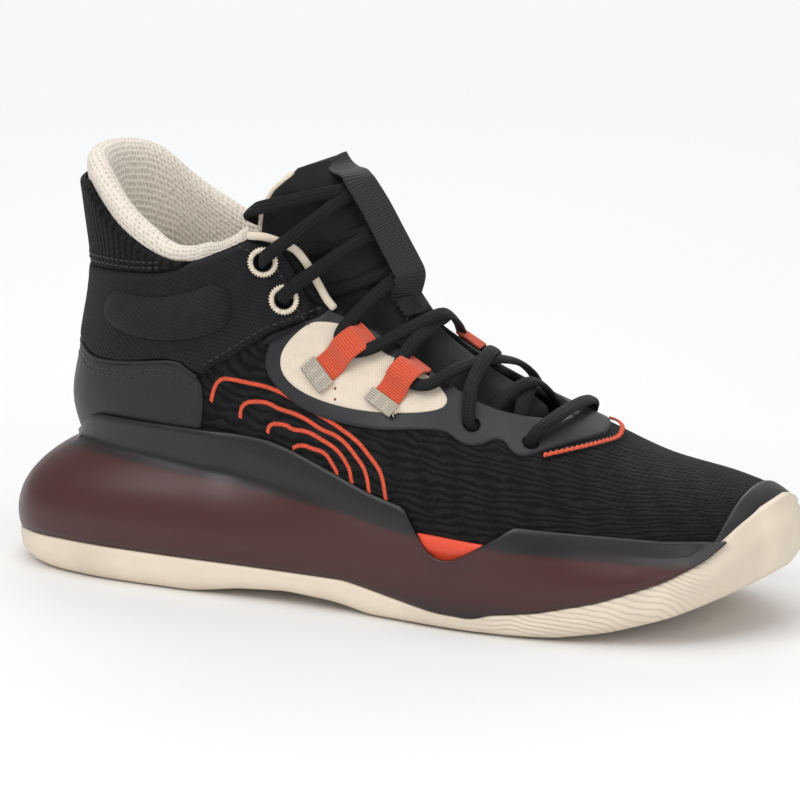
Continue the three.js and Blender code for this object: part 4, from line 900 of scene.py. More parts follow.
def make_outsole():
    """The cream rubber cup: tread, rounded side, lip and its inner wall."""
    s = sole()
    rim = s.rim()
    rings = [s.level(s.tread_inset + 3, s.tread + 1.2), s.level(s.tread_inset, s.tread + 0.1)]
    rings += [s.level(s.tread_inset * share, mix(s.tread, s.edge, up))
              for share, up in ((0.72, 0.06), (0.4, 0.2), (0.2, 0.38))]
    rings.append(s.level(mix(1.6, 0.2, s.toe), mix(s.tread, s.edge, 0.6)))
    flank = s.level(mix(1.5, 0.6, s.toe), mix(s.tread, s.edge, 0.8))
    rings.append(mix(flank, mix(rings[-1], rim, 0.55), smooth(s.x, 262, 280)[:, None]))
    rings += [s.shift(rim + [0, 0, -down], out) for out, down in (
        (0.15, LIP_ROUND), (-0.25, 0.25), (-LIP_ROUND, 0), (0.5 - LIP_WALL, 0), (-LIP_WALL, 0.6),
        (-LIP_WALL - 0.4, 5))]
    rings = np.array(rings)
    rows, around = rings.shape[:2]
    floor_v, floor_f = flat_fill(rings[0], 3.2, lambda x, y: soft_profile(TREAD, x, 6) + 1.2)
    floor_v[:around, 2] = rings[0][nearest(rings[0], floor_v[:around]), 2]
    verts, faces = joined([(rings.reshape(-1, 3), ring_faces(rows, around)), (floor_v, floor_f)])
    x = verts[:, 0]
    grip = smooth(x, 186, 204) * (1 - smooth(x, 262, 279))
    piece = new_mesh("outsole_rubber", verts, faces, finish("tread_rubber"), values={"grip": grip})
    return settle(turned_out(piece, WELD), "outsole", slot="outsole")


def nearest(rows, wanted):
    """For each wanted point the index of the row nearest to it, seen from above."""
    tree = tree_of(rows[:, :2])
    return [tree.find((*w[:2], 0))[1] for w in wanted]


def side_columns(s, inward, top_z, rows):
    """For each outline point, rows of places up the sole's side, from the outsole edge to top_z."""
    line = [s.shift(s.side(t), -inward) for t in np.linspace(0, 1, 14)]
    line.append(s.shift(s.middle, 2.04 + s.stand - inward))
    line.append(s.shift(s.top, 1.68 + s.stand - inward))
    line = np.array(line)
    columns = np.empty((rows, len(s.x), 3))
    for i in range(len(s.x)):
        q = line[:, i]
        z = np.maximum.accumulate(q[:, 2] + np.arange(len(q)) * 1e-6)
        run = arc_length(q)
        at = np.linspace(0, np.interp(top_z[i], z, run), rows)
        columns[:, i] = np.stack([np.interp(at, run, q[:, k]) for k in range(3)], -1)
    return columns


def make_cage():
    """The smoky shell round the sole: a tall fin at the heel, low arms forwards, and a window."""
    s = sole()
    top = np.minimum(s.cage, mix(99, soft_profile(CAGE, s.x, 3), s.x > 250))
    notch = soft_profile(WINDOW, s.x, 2.0)
    top = -np.logaddexp(-top / NOTCH_ROUND, -notch / NOTCH_ROUND) * NOTCH_ROUND
    columns = side_columns(s, 0.0, np.maximum(top, s.edge + 0.5), 22)

    def edge(row, turns):
        """Rows that turn inwards from a row, each a step in and a step up."""
        return [row + into * step + [0, 0, up] for step, up in turns]

    into = np.column_stack([-s.out, np.zeros(len(s.x))])
    lip = edge(columns[-1], [(0.35, 0.35), (1.1, 0.55), (2.0, 0.2), (2.3, -1.2), (2.4, -6)])
    rings = np.array(edge(columns[0], [(2.2, 0.0), (0.4, -0.1)]) + list(columns) + lip)
    order = np.where(s.x <= CAGE_FRONT + 0.5)[0]
    gap = np.where(np.diff(order) > 1)[0]
    if len(gap):
        order = np.roll(order, -gap[0] - 1)
    rings = rings[:, order]
    core = s.core[order][None]
    over = 1 - smooth(rings[..., 2], core - 2.0, core + 1.5)
    fin = loft("cage_skin", rings, finish("smoky_shell"), closed=False, values={"over_core": over})
    return settle(turned_out(fin, WELD), "cage_shell", slot="cage")


def make_core():
    """The bright foam inside the cage, seen in the window and faintly through the shell."""
    s = sole()
    columns = side_columns(s, CAGE_WALL + 0.6, s.foam, 16)
    into = np.column_stack([-s.out, np.zeros(len(s.x))])
    window = smooth(s.x, 165, 173) * (1 - smooth(s.x, 196, 204))
    rings = []
    for r, row in enumerate(columns):
        row = s.shift(row, 1.7 * window * smooth(row[:, 2], 26, 30))
        tucked = s.level(s.lip + LIP_WALL + 1.8, mix(s.tread + 5, s.core, r / 15))
        rings.append(mix(row, tucked, s.toe[:, None]))
    rings += [rings[-1] + into * a + [0, 0, b] for a, b in ((0.5, 0.45), (1.6, 0.6), (4.0, 0.5))]
    rings = np.array([rings[0] + into * 3 + [0, 0, -0.8]] + rings)
    rings[..., 0] = np.minimum(rings[..., 0], 283)
    return settle(turned_out(loft("foam_core", rings, finish("core_foam")), WELD), "midsole_core", slot="core")


# ---------------------------------------------------------------------------------------------
# The upper
# ---------------------------------------------------------------------------------------------
def make_knit():
    """The black knit upper, from the sole line up to the collar, with a seam down the heel."""
    low = [[0.3, 0.0], [0.32, 0.4], [0.45, 0.75], [0.8, 0.92], [2, 0.945], [5, 0.945], [7.6, 0.945], [8.6, 0.965],
           [9.4, 0.992], [10.2, 0.999]]
    heel = [[11.4, 0.999], [12.6, 0.999], [13.62, 0.999]]
    top = from_side(TOP_LINE)[1:]
    half = np.vstack([smoothed(low, 2.4), heel, smoothed(top, 2.0), smoothed(THROAT[:0:-1], 2.0)])
    half[0, 1] = 0.0
    loop = np.vstack([half * [1, -1], THROAT[:1], half[:0:-1]])

    def relief(sg):
        """The cloth dips a little where the foot bends."""
        s, g = sg[:, 0], sg[:, 1]
        bend = np.exp(-((s - 4.6 - 0.8 * np.abs(g)) / 0.22) ** 2) * smooth(np.abs(g), 0.28, 0.4)
        return -0.35 * bend * (1 - smooth(np.abs(g), 0.6, 0.75))

    piece = laid_panel("knit_upper", [loop], -1.2, 1.2, finish("engineered_knit"), round_edge=0.8, spacing=2.3,
                       relief=relief)
    return settle(piece, "mesh_upper", slot="knit")


def make_eyestay():
    """The dark film round the throat, with rounded lobes, and its eyelet holes."""
    outer = smoothed(FILM_EDGE, 1.2)
    inner = smoothed([[s, g + 0.012 * (g > 0)] for s, g in THROAT if 4.2 < s < 9.1], 1.2)
    half = np.vstack([inner, [[9.02, 0.232]], outer[:-1]])
    loop = np.vstack([[[4.22, 0.0]], half * [1, -1], outer[-1:], half[::-1]])
    holes = [ring_on_last(EYELETS[k], side, 2.7) for k in ("toe", "second") for _, side in SIDES]
    piece = laid_panel("eyestay_film", [loop] + holes, 0.25, 0.85, finish("bonded_film"), round_edge=0.7,
                       spacing=1.9)
    settle(piece, "eyestay", slot="film")


def make_eyelet_panels():
    """The cream panels under the lace loops."""
    for name, side in SIDES:
        loop = smoothed(np.array(PANEL_EDGE) * [1, side], 1.0, closed=True)
        piece = laid_panel(f"eyelet_panel_cloth_{name}", [loop], 0.3, 1.05, finish("cream_cloth"), round_edge=1.1,
                           spacing=1.8, skirt=0.5)
        settle(piece, f"eyelet_panel_{name}", slot="cream_textile")


def make_toe_guard():
    """The smooth dark film cap over the toe, above the outsole's bumper."""
    low = [[1.5, 0.7], [0.95, 0.68], [0.5, 0.58], [0.32, 0.4], [0.3, 0.2], [0.3, 0.0]]
    side = np.vstack([smoothed(TOE_GUARD, 1.4), low])
    loop = np.vstack([side * [1, -1], side[1:-1][::-1]])
    piece = laid_panel("toe_guard_film", [loop], 0.3, 0.85, finish("toe_film"), round_edge=0.8, spacing=1.7)
    settle(piece, "toe_guard", slot="film")


def make_heel_cover():
    """The black leather cover round the heel."""
    top = eased(COUNTER_TOP)
    low = from_side([[6, 49], [24, 49], [45, 49], [62, 49], [74, 49]])
    front = from_side([[76.2, 55], [77.2, 62], [77.4, 70], [77.0, 76]])
    top[0, 1] = min(top[0, 1], 0.995)
    loop = round_heel(np.vstack([low, front]), top)
    piece = laid_panel("heel_cover_leather", [loop], 0.3, 1.3, finish("synthetic_leather"), round_edge=1.0,
                       spacing=2.0, skirt=0.6)
    settle(piece, "counter_cover", slot="synthetic_leather")


def make_collar_panel():
    """The padded charcoal cloth round the ankle, between the heel cover and the collar."""
    low = np.vstack([eased(COUNTER_TOP)[:-1], eased(SEAM)])
    front = [[9.13, 0.372], [9.27, 0.345], [9.22, 0.31], [9.12, 0.278], [9.3, 0.262], [9.8, 0.262], [10.3, 0.268],
             [10.8, 0.285], [11.15, 0.312], [11.45, 0.35]]
    low = np.vstack([low, smoothed(front, 1.5)])
    top = np.vstack([eased(TAB_LOW)[:-1], eased([[74.6, 122.2], [85, 126.2], [96, 131.2]])])
    loop = round_heel(low, top)
    holes = [ring_on_last(EYELETS[k], side, 3.4) for k in ("ankle", "top") for _, side in SIDES]
    piece = laid_panel("collar_panel_cloth", [loop] + holes, 0.3, 2.1, finish("collar_cloth"), round_edge=2.2,
                       spacing=2.3, skirt=0.6)
    settle(piece, "collar_panel", slot="collar_textile", padded=0.7)


def make_heel_tab():
    """The black knit tab at the back of the collar."""
    low = eased(TAB_LOW)
    top = eased([[x, z - 0.3] for x, z in TOP_LINE if x < 74.6])
    loop = round_heel(low[:-1], top)
    piece = laid_panel("heel_tab_knit", [loop], 0.3, 1.7, finish("fine_rib_knit"), round_edge=1.3, spacing=2.1)
    settle(piece, "heel_tab", slot="knit")


def make_pods():
    """The padded pod at each side of the ankle."""
    for name, side in SIDES:
        loop = smoothed(from_side(POD) * [1, side], 1.2, closed=True)
        piece = laid_panel(f"ankle_pod_cloth_{name}", [loop], 2.3, 1.0, finish("pod_cloth"), round_edge=1.6,
                           spacing=1.7, skirt=0.9, crown=3.2, crown_reach=9.5)
        settle(piece, f"ankle_pod_{name}", slot="collar_textile", padded=0.8)


def surface_path(nodes, side=1, step=1.0, height=None):
    """Points and normals along (station, girth, height) nodes on one side, evenly spaced."""
    nodes = np.array(nodes, float)
    if height is not None:
        nodes = np.column_stack([nodes[:, :2], np.full(len(nodes), height)])
    s, g, h = (curve_through(nodes * [*SHEET, 1.0], step) / [*SHEET, 1.0] * [1, side, 1]).T
    return off_last(s, g, h), last_normal(s, g)


def throat_tape(height):
    """The run of the tape across the front of the throat, from one side to the other."""
    half = [[4.04, 0.205], [3.86, 0.165], [3.68, 0.115], [3.54, 0.06]]
    nodes = [[s, -g] for s, g in half] + [[3.46, 0]] + half[::-1]
    return surface_path(nodes, 1, 0.8, height)


def make_loops():
    """The orange webbing loops that the lace runs through, with their stitched end tabs."""
    for name, side in SIDES:
        for place, (station, along) in LOOPS.items():
            nodes = [[station, 0.156 + 0.8 * (g - 0.156) + along, 2.05 + rise] for g, rise in ARCH]
            points, normals = surface_path(nodes, side, 0.8)
            loop = band(f"lace_loop_webbing_{name}_{place}", points, normals, 11.0, 0.95, finish("orange_webbing"),
                        around=24, squareness=5.0)
            settle(loop, f"lace_loop_{name}_{place}", slot="orange_webbing")
            end = [[station, g + along, 2.95] for g in (0.308, 0.297, 0.286, 0.275)]
            points, normals = surface_path(end, side, 0.7)
            tab = band(f"loop_tab_webbing_{name}_{place}", points, normals, 12.8, 0.6, finish("tab_webbing"),
                       around=24, squareness=5.0)
            settle(tab, f"loop_tab_{name}_{place}", slot="tab_webbing")


def make_bar():
    """The orange tape across the front of the throat."""
    piece = band("throat_bar_tape", *throat_tape(1.25), 1.4, 0.7, finish("orange_webbing"), around=14, squareness=2.6)
    settle(piece, "throat_bar", slot="orange_webbing")


ROLL = [[11.5, 0.452], [11.52, 0.49], [11.75, 0.535], [12.15, 0.585], [12.72, 0.66], [13.3, 0.745], [13.56, 0.83],
        [13.66, 0.92], [13.7, 0.9999]]


def make_collar_padding():
    """The cream padding inside the collar: a soft roll that stands above the top line, with the lining
    below it. It thins to a narrow edge that runs on to the front of the collar."""
    half = smoothed([[11.6, 0.352], [11.44, 0.385], [11.42, 0.425]] + ROLL, 2.0)
    s, g = np.vstack([half[:-1] * [1, -1], half[::-1]]).T
    n, wide = len(s), np.abs(g)
    to_end = np.minimum(np.arange(n), n - 1 - np.arange(n)) * 2.0
    fat = mix(0.3, 1.0, smooth(wide, 0.42, 0.58))
    fat = fat * np.sqrt(np.clip(1 - (1 - np.clip(to_end / 2.4, 0, 1)) ** 2, 0.05, 1))
    reach = mix(0.45, 1, fat) / (np.linalg.norm(on_last(s + 0.2, g) - on_last(s - 0.2, g), axis=1) / 0.4)
    lip = [(-9, -1.35), (-3.5, -1.35), (-0.4, -1.35), (2.4, -1.5), (4.4, -2.3), (5.8, -3.7), (6.4, -5.4),
           (6.0, -7.1), (4.8, -8.6), (2.6, -9.7), (-0.4, -10.35), (-3.8, -10.6)]
    rows = [off_last(s + 0.06 + rise * reach, g, mix(-1.35, h, fat)) for rise, h in lip]
    start = s + 0.06 - 3.8 * reach
    low = smooth(wide, 0.4, 0.47)
    foot = mix(start - 0.5, np.interp(wide, [0.45, 0.6, 0.8, 1.0], [8.6, 8.5, 8.9, 9.6]), low)
    for t in np.arange(1, 23) / 22:
        swell = -10.6 - 0.9 * math.sin(math.pi * min(t * 1.6, 1)) + 2.2 * t
        rows.append(off_last(mix(start, foot, t), g, mix(-1.35, swell, np.maximum(fat, 0.55 * t * low))))
    rows.append(off_last(foot - 0.12, g, mix(-1.6, -5.0, fat)))
    rows.append(off_last(foot - 0.1, g, np.full(n, -1.5)))
    piece = turned_out(loft("collar_padding", rows, finish("spacer_mesh"), closed=False), WELD)
    settle(piece, "collar_roll", "collar_lining", "collar_foam", slot="lining", padded=0.75)


BINDING_EDGE = [[11.62, 0.352], [11.45, 0.318], [11.15, 0.284], [10.8, 0.256], [10.3, 0.238], [9.8, 0.23],
                [9.3, 0.226], [9.0, 0.222]]


def make_bindings():
    """The cream cord binding along each front edge of the collar."""
    for name, side in SIDES:
        points, normals = surface_path(BINDING_EDGE, side, 1.0, height=0.35)
        piece = band(f"collar_binding_cloth_{name}", points, normals, 3.0, 3.1, finish("cream_cloth"), around=20,
                     squareness=2.1)
        settle(piece, f"collar_binding_{name}", slot="cream_textile")


def ring_path(place, side, radius, height, count=48):
    """Points of a flat ring that stands over a place on the last, and the direction it faces."""
    s, g = place
    n = last_normal(s, g * side)
    u = np.cross(n, [0.0, 0.0, 1.0])
    u /= np.linalg.norm(u)
    a = np.linspace(0, 2 * math.pi, count, endpoint=False)[:, None]
    return off_last(s, g * side, height) + radius * (np.cos(a) * u + np.sin(a) * np.cross(n, u)), n


def ring_tube(points, n, radius, around=12):
    """A closed torus through a ring of points about the direction n."""
    out = points - points.mean(0)
    out /= np.linalg.norm(out, axis=1, keepdims=True)
    rows = [points + radius * (math.cos(a) * out + math.sin(a) * n)
            for a in np.linspace(0, 2 * math.pi, around, endpoint=False)]
    return np.array(rows + rows[:1])


def make_eyelet_rims():
    """The whip-stitched cream cords round the ankle eyelets."""
    for name, side in SIDES:
        for level, key in (("lower", "ankle"), ("upper", "top")):
            points, n = ring_path(EYELETS[key], side, RIM_RADIUS, 3.5)
            piece = loft(f"eyelet_rim_cord_{name}_{level}", ring_tube(points, n, 0.65), finish("cream_thread"))
            settle(turned_out(piece, WELD), f"eyelet_rim_{name}_{level}", slot="cream_textile")


TONGUE_HALF = [[4.5, 0.11], [5, 0.19], [6, 0.225], [8, 0.265], [10, 0.32], [11.5, 0.335], [12.1, 0.312],
               [12.5, 0.265], [12.75, 0.22], [13.0, 0.13]]


def tongue_top(s, g):
    """The tongue's outer face, as a height over the last."""
    edge = np.minimum(profile(THROAT, s), 0.23)
    free = smooth(s, 11.6, 12.6)
    full = 1.5 * smooth(s, 8.6, 9.6) * (1 - smooth(s, 12.2, 12.8)) * (1 - smooth(np.abs(g), 0.0, 0.14))
    wing = smooth(np.abs(g), edge - 0.085 + 0.05 * free, edge - 0.015 + 0.05 * free)
    return full + mix(-1.0, mix(-6.0, -3.6, free), wing)


def make_tongue():
    """The padded tongue: dark cloth outside, cream lining inside, rolled at its edges."""
    cuts = 34
    share = np.sin(np.linspace(-0.5, 0.5, cuts) * math.pi)
    rows = []
    for s in [*np.linspace(4.5, 13.0, 96), 13.0]:
        half = float(soft_profile(TONGUE_HALF, s, 0.18))
        thick = float(mix(2.2, 7.2, smooth(s, 6.2, 8.2)) * mix(1, 0.35, smooth(s, 12.55, 13.02)))
        faces = []
        for across, way in ((share, -1), (share[::-1][1:-1], 1)):
            roll = np.sqrt(np.clip(1 - np.abs(across) ** 5, 0, 1))
            height = tongue_top(s, across * half) - 0.5 * thick * (1 + way * roll)
            faces.append(off_last(np.full(len(across), s), across * half + 1e-6, height))
        rows.append(np.vstack(faces))
    rows = np.array(rows)
    rows[-1] = rows[-1] * 0.02 + rows[-1].mean(0) * 0.98 + (rows[-2] - rows[-3]).mean(0) * 0.35
    rows[0] = rows[0] * 0.3 + rows[0].mean(0) * 0.7
    piece = turned_out(loft("tongue_body", rows, finish("tongue_cloth")))
    piece.data.materials.append(finish("spacer_mesh"))
    around = rows.shape[1]
    for polygon in piece.data.polygons:
        polygon.material_index = int(cuts <= polygon.index % around < around - 1)
    settle(piece, "tongue_shell", "tongue_foam", "tongue_lining", slot="collar_textile", padded=0.7)
    for name, side in SIDES:
        s = np.linspace(9.2, 12.9, 60)
        g = (soft_profile(TONGUE_HALF, s, 0.18) + 0.002) * side
        height = tongue_top(s, g) - 0.5 * mix(7.2, 2.6, smooth(s, 12.55, 13.02))
        piping = band(f"tongue_piping_{name}", off_last(s, g, height), last_normal(s, g), 2.0, 2.0,
                      finish("cream_thread"), around=12, squareness=2.0)
        settle(piping, slot="lining")


STRAP = [[12.98, 0], [12.75, 0.1], [12.45, 2.6], [12.2, 6.2], [11.9, 7.6], [11.3, 7.7], [10.5, 7.7], [9.6, 7.7],
         [9.0, 7.6], [8.62, 7.1], [8.42, 4.6], [8.25, 1.2], [8.1, 0.05], [7.9, 0], [7.6, 0]]


def make_strap():
    """The ribbed pull strap down the tongue, over the laces, and the tab that ends it."""
    lean = [[s, -0.036 * float(smooth(13.05 - s, 0.2, 1.2)) - 0.00001, -0.2 + rise] for s, rise in STRAP]
    points, normals = surface_path(lean, 1, 0.9)
    normals = normals + [0, -0.45, 0]
    normals /= np.linalg.norm(normals, axis=1, keepdims=True)
    strap = band("tongue_strap_webbing", points, normals, 12.5, 1.0, finish("black_webbing"), around=24,
                 squareness=6.0)
    settle(strap, "tongue_strap", slot="webbing")
    nodes = [[s, -0.036, 1.1] for s in (8.12, 7.95, 7.75, 7.55)]
    points, normals = surface_path(nodes, 1, 0.7)
    tab = band("strap_tab_cloth", points, normals, 15.0, 0.8, finish("tongue_cloth"), around=24, squareness=6.0)
    settle(tab, "strap_tab", slot="webbing")


def lace_route(lift):
    """One side's run of the lace, from the throat to its free end: station, girth and height of the
    places where it lies, rises and turns. Girth is positive on the side that it starts from."""
    return [
        [4.22, 0.09, 4.6], [4.27, 0.145, 4.5], [4.3, 0.178, 2.6], [4.33, 0.186, -0.8], [4.42, 0.172, -3.9],
        [4.6, 0.13, -4.2], [4.78, 0.075, 0.2 + lift * 0.4], [4.93, 0, 2.2 + lift], [5.07, -0.07, 0.2 + lift * 0.4],
        [5.12, -0.135, -4.2], [5.15, -0.185, -4.1], [5.19, -0.214, -1], [5.25, -0.217, 2.6], [5.4, -0.18, 4.6],
        [5.6, -0.12, 4.2], [5.82, 0, 2.6 + lift], [5.98, 0.12, 3.9], [6.12, 0.195, 4.3], [6.35, 0.215, 3.8],
        [6.6, 0.218, 3.8], [6.82, 0.195, 4.4], [6.98, 0.12, 4.1], [7.15, 0, 2.8 + lift], [7.3, -0.13, 4.0],
        [7.45, -0.215, 4.4], [7.7, -0.25, 3.8], [7.95, -0.256, 3.8], [8.25, -0.235, 4.4], [8.6, -0.14, 2.6],
        [8.95, 0, 2.2 + lift], [9.15, 0.12, 0.2], [9.35, 0.2, -4.4], [9.55, 0.26, -4.6], [9.72, 0.294, -1.8],
        [9.84, 0.3, 3], [10.0, 0.27, 5.4], [10.15, 0.2, 4.6], [10.32, 0.1, 2.4], [10.42, 0, 2.2 + lift],
        [10.5, -0.1, 0.6], [10.56, -0.19, -4.4], [10.68, -0.27, -4.8], [10.82, -0.318, -2], [10.94, -0.33, 3],
        [11.1, -0.3, 5.4], [11.4, -0.2, 4.4], [11.65, -0.1, 2.2], [11.8, 0, 2.2 + lift], [11.98, 0.13, 2.4],
        [12.14, 0.25, 0.2], [12.2, 0.325, -4.4], [12.12, 0.355, -10], [11.85, 0.34, -14.2], [11.4, 0.29, -15.4],
        [10.9, 0.25, -15.6],
    ]


def lace_line():
    """The whole lace, tip to tip, as points and normals."""
    outer = [[s, g * OUTER if g else -1e-6, h] for s, g, h in lace_route(0)][::-1]
    inner = [[s, g * INNER if g else 1e-6, h] for s, g, h in lace_route(2.9)]
    middle = [[4.2, -0.04, 4.6], [4.2, 0.04, 4.6]]
    nodes = np.array(outer + middle + inner)
    points = off_last(nodes[:, 0], nodes[:, 1], nodes[:, 2])
    normals = last_normal(nodes[:, 0], nodes[:, 1])
    return curve_through(np.hstack([points, normals]), 0.9)


LACE_WIDTH, LACE_THICK = 5.0, 2.4


def make_lace():
    """The braided oval lace, whole from tip to tip, and its two tips."""
    line = lace_line()
    points, normals = line[:, :3], line[:, 3:]
    lace = band("lace_cord", points, normals, LACE_WIDTH, LACE_THICK, finish("braided_lace"), around=22,
                squareness=2.3)
    settle(lace, "lace", slot="lace")
    sides, along = carried(points, normals)
    for name, end, way in (("lateral", 0, -1), ("medial", -1, 1)):
        d = np.array([0.3, 1.2, 2.4, 6, 12, 17, 19.2, 20])[:, None]
        line = points[end] + along[end] * way * d
        up = np.cross(along[end], sides[end])
        width = np.array([3.3, 3.5, 3.4, 3.2, 3.1, 3.0, 2.8, 2.2])
        tip = band(f"aglet_tip_{name}", line, np.repeat(up[None], len(d), 0), width, 2.8, finish("moulded_plastic"),
                   around=16, squareness=2.0)
        settle(tip, f"aglet_{name}", slot="plate")


# ---------------------------------------------------------------------------------------------
# Geometry Nodes: stitches, dots and ribs that follow a path
# ---------------------------------------------------------------------------------------------
def path_object(name, paths):
    """Edges along paths of (points, normals) in mm, with the surface direction kept in 'up'."""
    edges, start = [], 0
    for points, _ in paths:
        edges += [(start + i, start + i + 1) for i in range(len(points) - 1)]
        start += len(points)
    mesh = bpy.data.meshes.new(name)
    mesh.from_pydata(in_frame(np.vstack([points for points, _ in paths])).tolist(), edges, [])
    mesh.update()
    attr = mesh.attributes.new("up", "FLOAT_VECTOR", "POINT")
    attr.data.foreach_set("vector", np.vstack([normals for _, normals in paths]).astype(float).ravel())
    return linked(name, mesh)


def new_tree(name, sockets):
    """A Geometry Nodes tree with named inputs; returns it, its input node and a way to add nodes."""
    tree = bpy.data.node_groups.new(name, "GeometryNodeTree")
    tree.is_modifier = True
    for way in ("INPUT", "OUTPUT"):
        tree.interface.new_socket("Geometry", in_out=way, socket_type="NodeSocketGeometry")
    for key, default in {**sockets, "Material": None}.items():
        kind = {float: "Float", int: "Int"}.get(type(default), "Material")
        made = tree.interface.new_socket(key, in_out="INPUT", socket_type="NodeSocket" + kind)
        if default is not None:
            made.default_value = default

    def add(kind, sockets=None, **settings):
        return add_node(tree, kind, sockets, **settings)

    return tree, add("NodeGroupInput").outputs, add


def close_tree(add, geometry, material):
    """Ends a tree: real geometry, shaded smooth, with its material."""
    real = add("GeometryNodeRealizeInstances", {"Geometry": geometry}).outputs["Geometry"]
    soft = add("GeometryNodeSetShadeSmooth", {"Geometry": real}).outputs["Geometry"]
    paint = add("GeometryNodeSetMaterial", {"Geometry": soft, "Material": material})
    add("NodeGroupOutput", {"Geometry": paint.outputs["Geometry"]})


def stitch_tree():
    """Rounded stitches at even spacing along paths, lying on the surface that 'up' gives."""
    tree, given, add = new_tree("Stitch Row", {"Spacing": 0.003, "Length": 0.0022, "Thickness": 0.0006,
                                               "Slant": 0.0, "Alternate": 0.0})

    def math_node(kind, a, b):
        return add("ShaderNodeMath", {0: a, 1: b}, operation=kind).outputs[0]

    curve = add("GeometryNodeMeshToCurve", {"Mesh": given["Geometry"]}).outputs["Curve"]
    points = add("GeometryNodeCurveToPoints", {"Curve": curve, "Length": given["Spacing"]}, mode="LENGTH").outputs
    up = add("GeometryNodeInputNamedAttribute", {"Name": "up"}, data_type="FLOAT_VECTOR").outputs["Attribute"]
    stand = add("FunctionNodeAlignRotationToVector", {"Vector": up}, axis="Z").outputs[0]
    lie = add("FunctionNodeAlignRotationToVector", {"Rotation": stand, "Vector": points["Tangent"]}, axis="X",
              pivot_axis="Z").outputs[0]
    parity = math_node("MODULO", add("GeometryNodeInputIndex").outputs[0], 2.0)
    flip = math_node("MULTIPLY", math_node("MULTIPLY", parity, -2.0), given["Alternate"])
    angle = math_node("MULTIPLY", math_node("ADD", flip, 1.0), given["Slant"])
    lean = add("FunctionNodeAxisAngleToRotation", {"Axis": (0, 0, 1), "Angle": angle}).outputs[0]
    turn = add("FunctionNodeRotateRotation", {"Rotation": lie, "Rotate By": lean}, rotation_space="LOCAL")
    shape = add("GeometryNodeMeshUVSphere", {"Segments": 8, "Rings": 6, "Radius": 0.5}).outputs["Mesh"]
    laid = add("GeometryNodeTransform", {"Geometry": shape, "Rotation": (0, math.pi / 2, 0)}).outputs["Geometry"]
    size = add("ShaderNodeCombineXYZ", {"X": given["Length"], "Y": given["Thickness"],
                                        "Z": math_node("MULTIPLY", given["Thickness"], 0.8)}).outputs[0]
    rows = add("GeometryNodeInstanceOnPoints", {"Points": points["Points"], "Instance": laid,
                                                "Rotation": turn.outputs[0], "Scale": size})
    close_tree(add, rows.outputs["Instances"], given["Material"])
    return tree


def rib_tree():
    """Rounded ribs swept along paths, such as the grip lines of a tread."""
    tree, given, add = new_tree("Swept Rib", {"Radius": 0.0006, "Step": 0.0015, "Sides": 6})
    curve = add("GeometryNodeMeshToCurve", {"Mesh": given["Geometry"]}).outputs["Curve"]
    even = add("GeometryNodeResampleCurve", {"Curve": curve, "Length": given["Step"]}, mode="LENGTH")
    section = add("GeometryNodeCurvePrimitiveCircle", {"Resolution": given["Sides"], "Radius": given["Radius"]})
    sweep = add("GeometryNodeCurveToMesh", {"Curve": even.outputs["Curve"], "Fill Caps": True,
                                            "Profile Curve": section.outputs["Curve"]})
    close_tree(add, sweep.outputs["Mesh"], given["Material"])
    return tree


TREES = {"Stitch Row": stitch_tree, "Swept Rib": rib_tree}


def baked(piece, tree_name, inputs):
    """Runs a Geometry Nodes tree on an object and leaves it as a plain mesh."""
    tree = bpy.data.node_groups.get(tree_name) or TREES[tree_name]()
    modifier = piece.modifiers.new(tree.name, "NODES")
    modifier.node_group = tree
    keys = {item.name: item.identifier for item in tree.interface.items_tree
            if item.item_type == "SOCKET" and item.in_out == "INPUT"}
    for name, value in inputs.items():
        modifier[keys[name]] = value
    piece.update_tag()
    graph = bpy.context.evaluated_depsgraph_get()
    graph.update()
    mesh = bpy.data.meshes.new_from_object(piece.evaluated_get(graph), depsgraph=graph)
    piece.modifiers.remove(modifier)
    old = piece.data
    mesh.name = piece.name
    piece.data = mesh
    bpy.data.meshes.remove(old)
    if not len(mesh.polygons):
        raise RuntimeError(f"{piece.name} came out empty")
    return piece


def stitches(name, paths, thread_finish, spacing=3.0, length=2.2, thickness=0.6, slant=0.0, alternate=0.0):
    """A piece of stitches along paths; sizes in mm and degrees."""
    piece = path_object(name, paths)
    baked(piece, "Stitch Row", {
        "Spacing": spacing * MM, "Length": length * MM, "Thickness": thickness * MM,
        "Slant": math.radians(slant), "Alternate": alternate, "Material": finish(thread_finish),
    })
    return settle(piece)


def ribs(name, paths, rib_finish, radius, step=1.5, sides=6):
    """A piece of swept ribs along paths; sizes in mm."""
    piece = path_object(name, paths)
    baked(piece, "Swept Rib", {"Radius": radius * MM, "Step": step * MM, "Sides": sides,
                               "Material": finish(rib_finish)})
    return settle(piece)


# ---------------------------------------------------------------------------------------------
# Sewing, trims and tread
# ---------------------------------------------------------------------------------------------
def heel_line(nodes, drop, height):
    """A path round the heel from one side's (x, z) nodes, moved down by drop mm."""
    half = eased([[x, z - drop] for x, z in nodes])
    path = np.vstack([half[::-1] * [1, -1], [[half[0][0], -1.0]], half + [0, -2]])
    return surface_path(path, 1, 1.0, height=height)


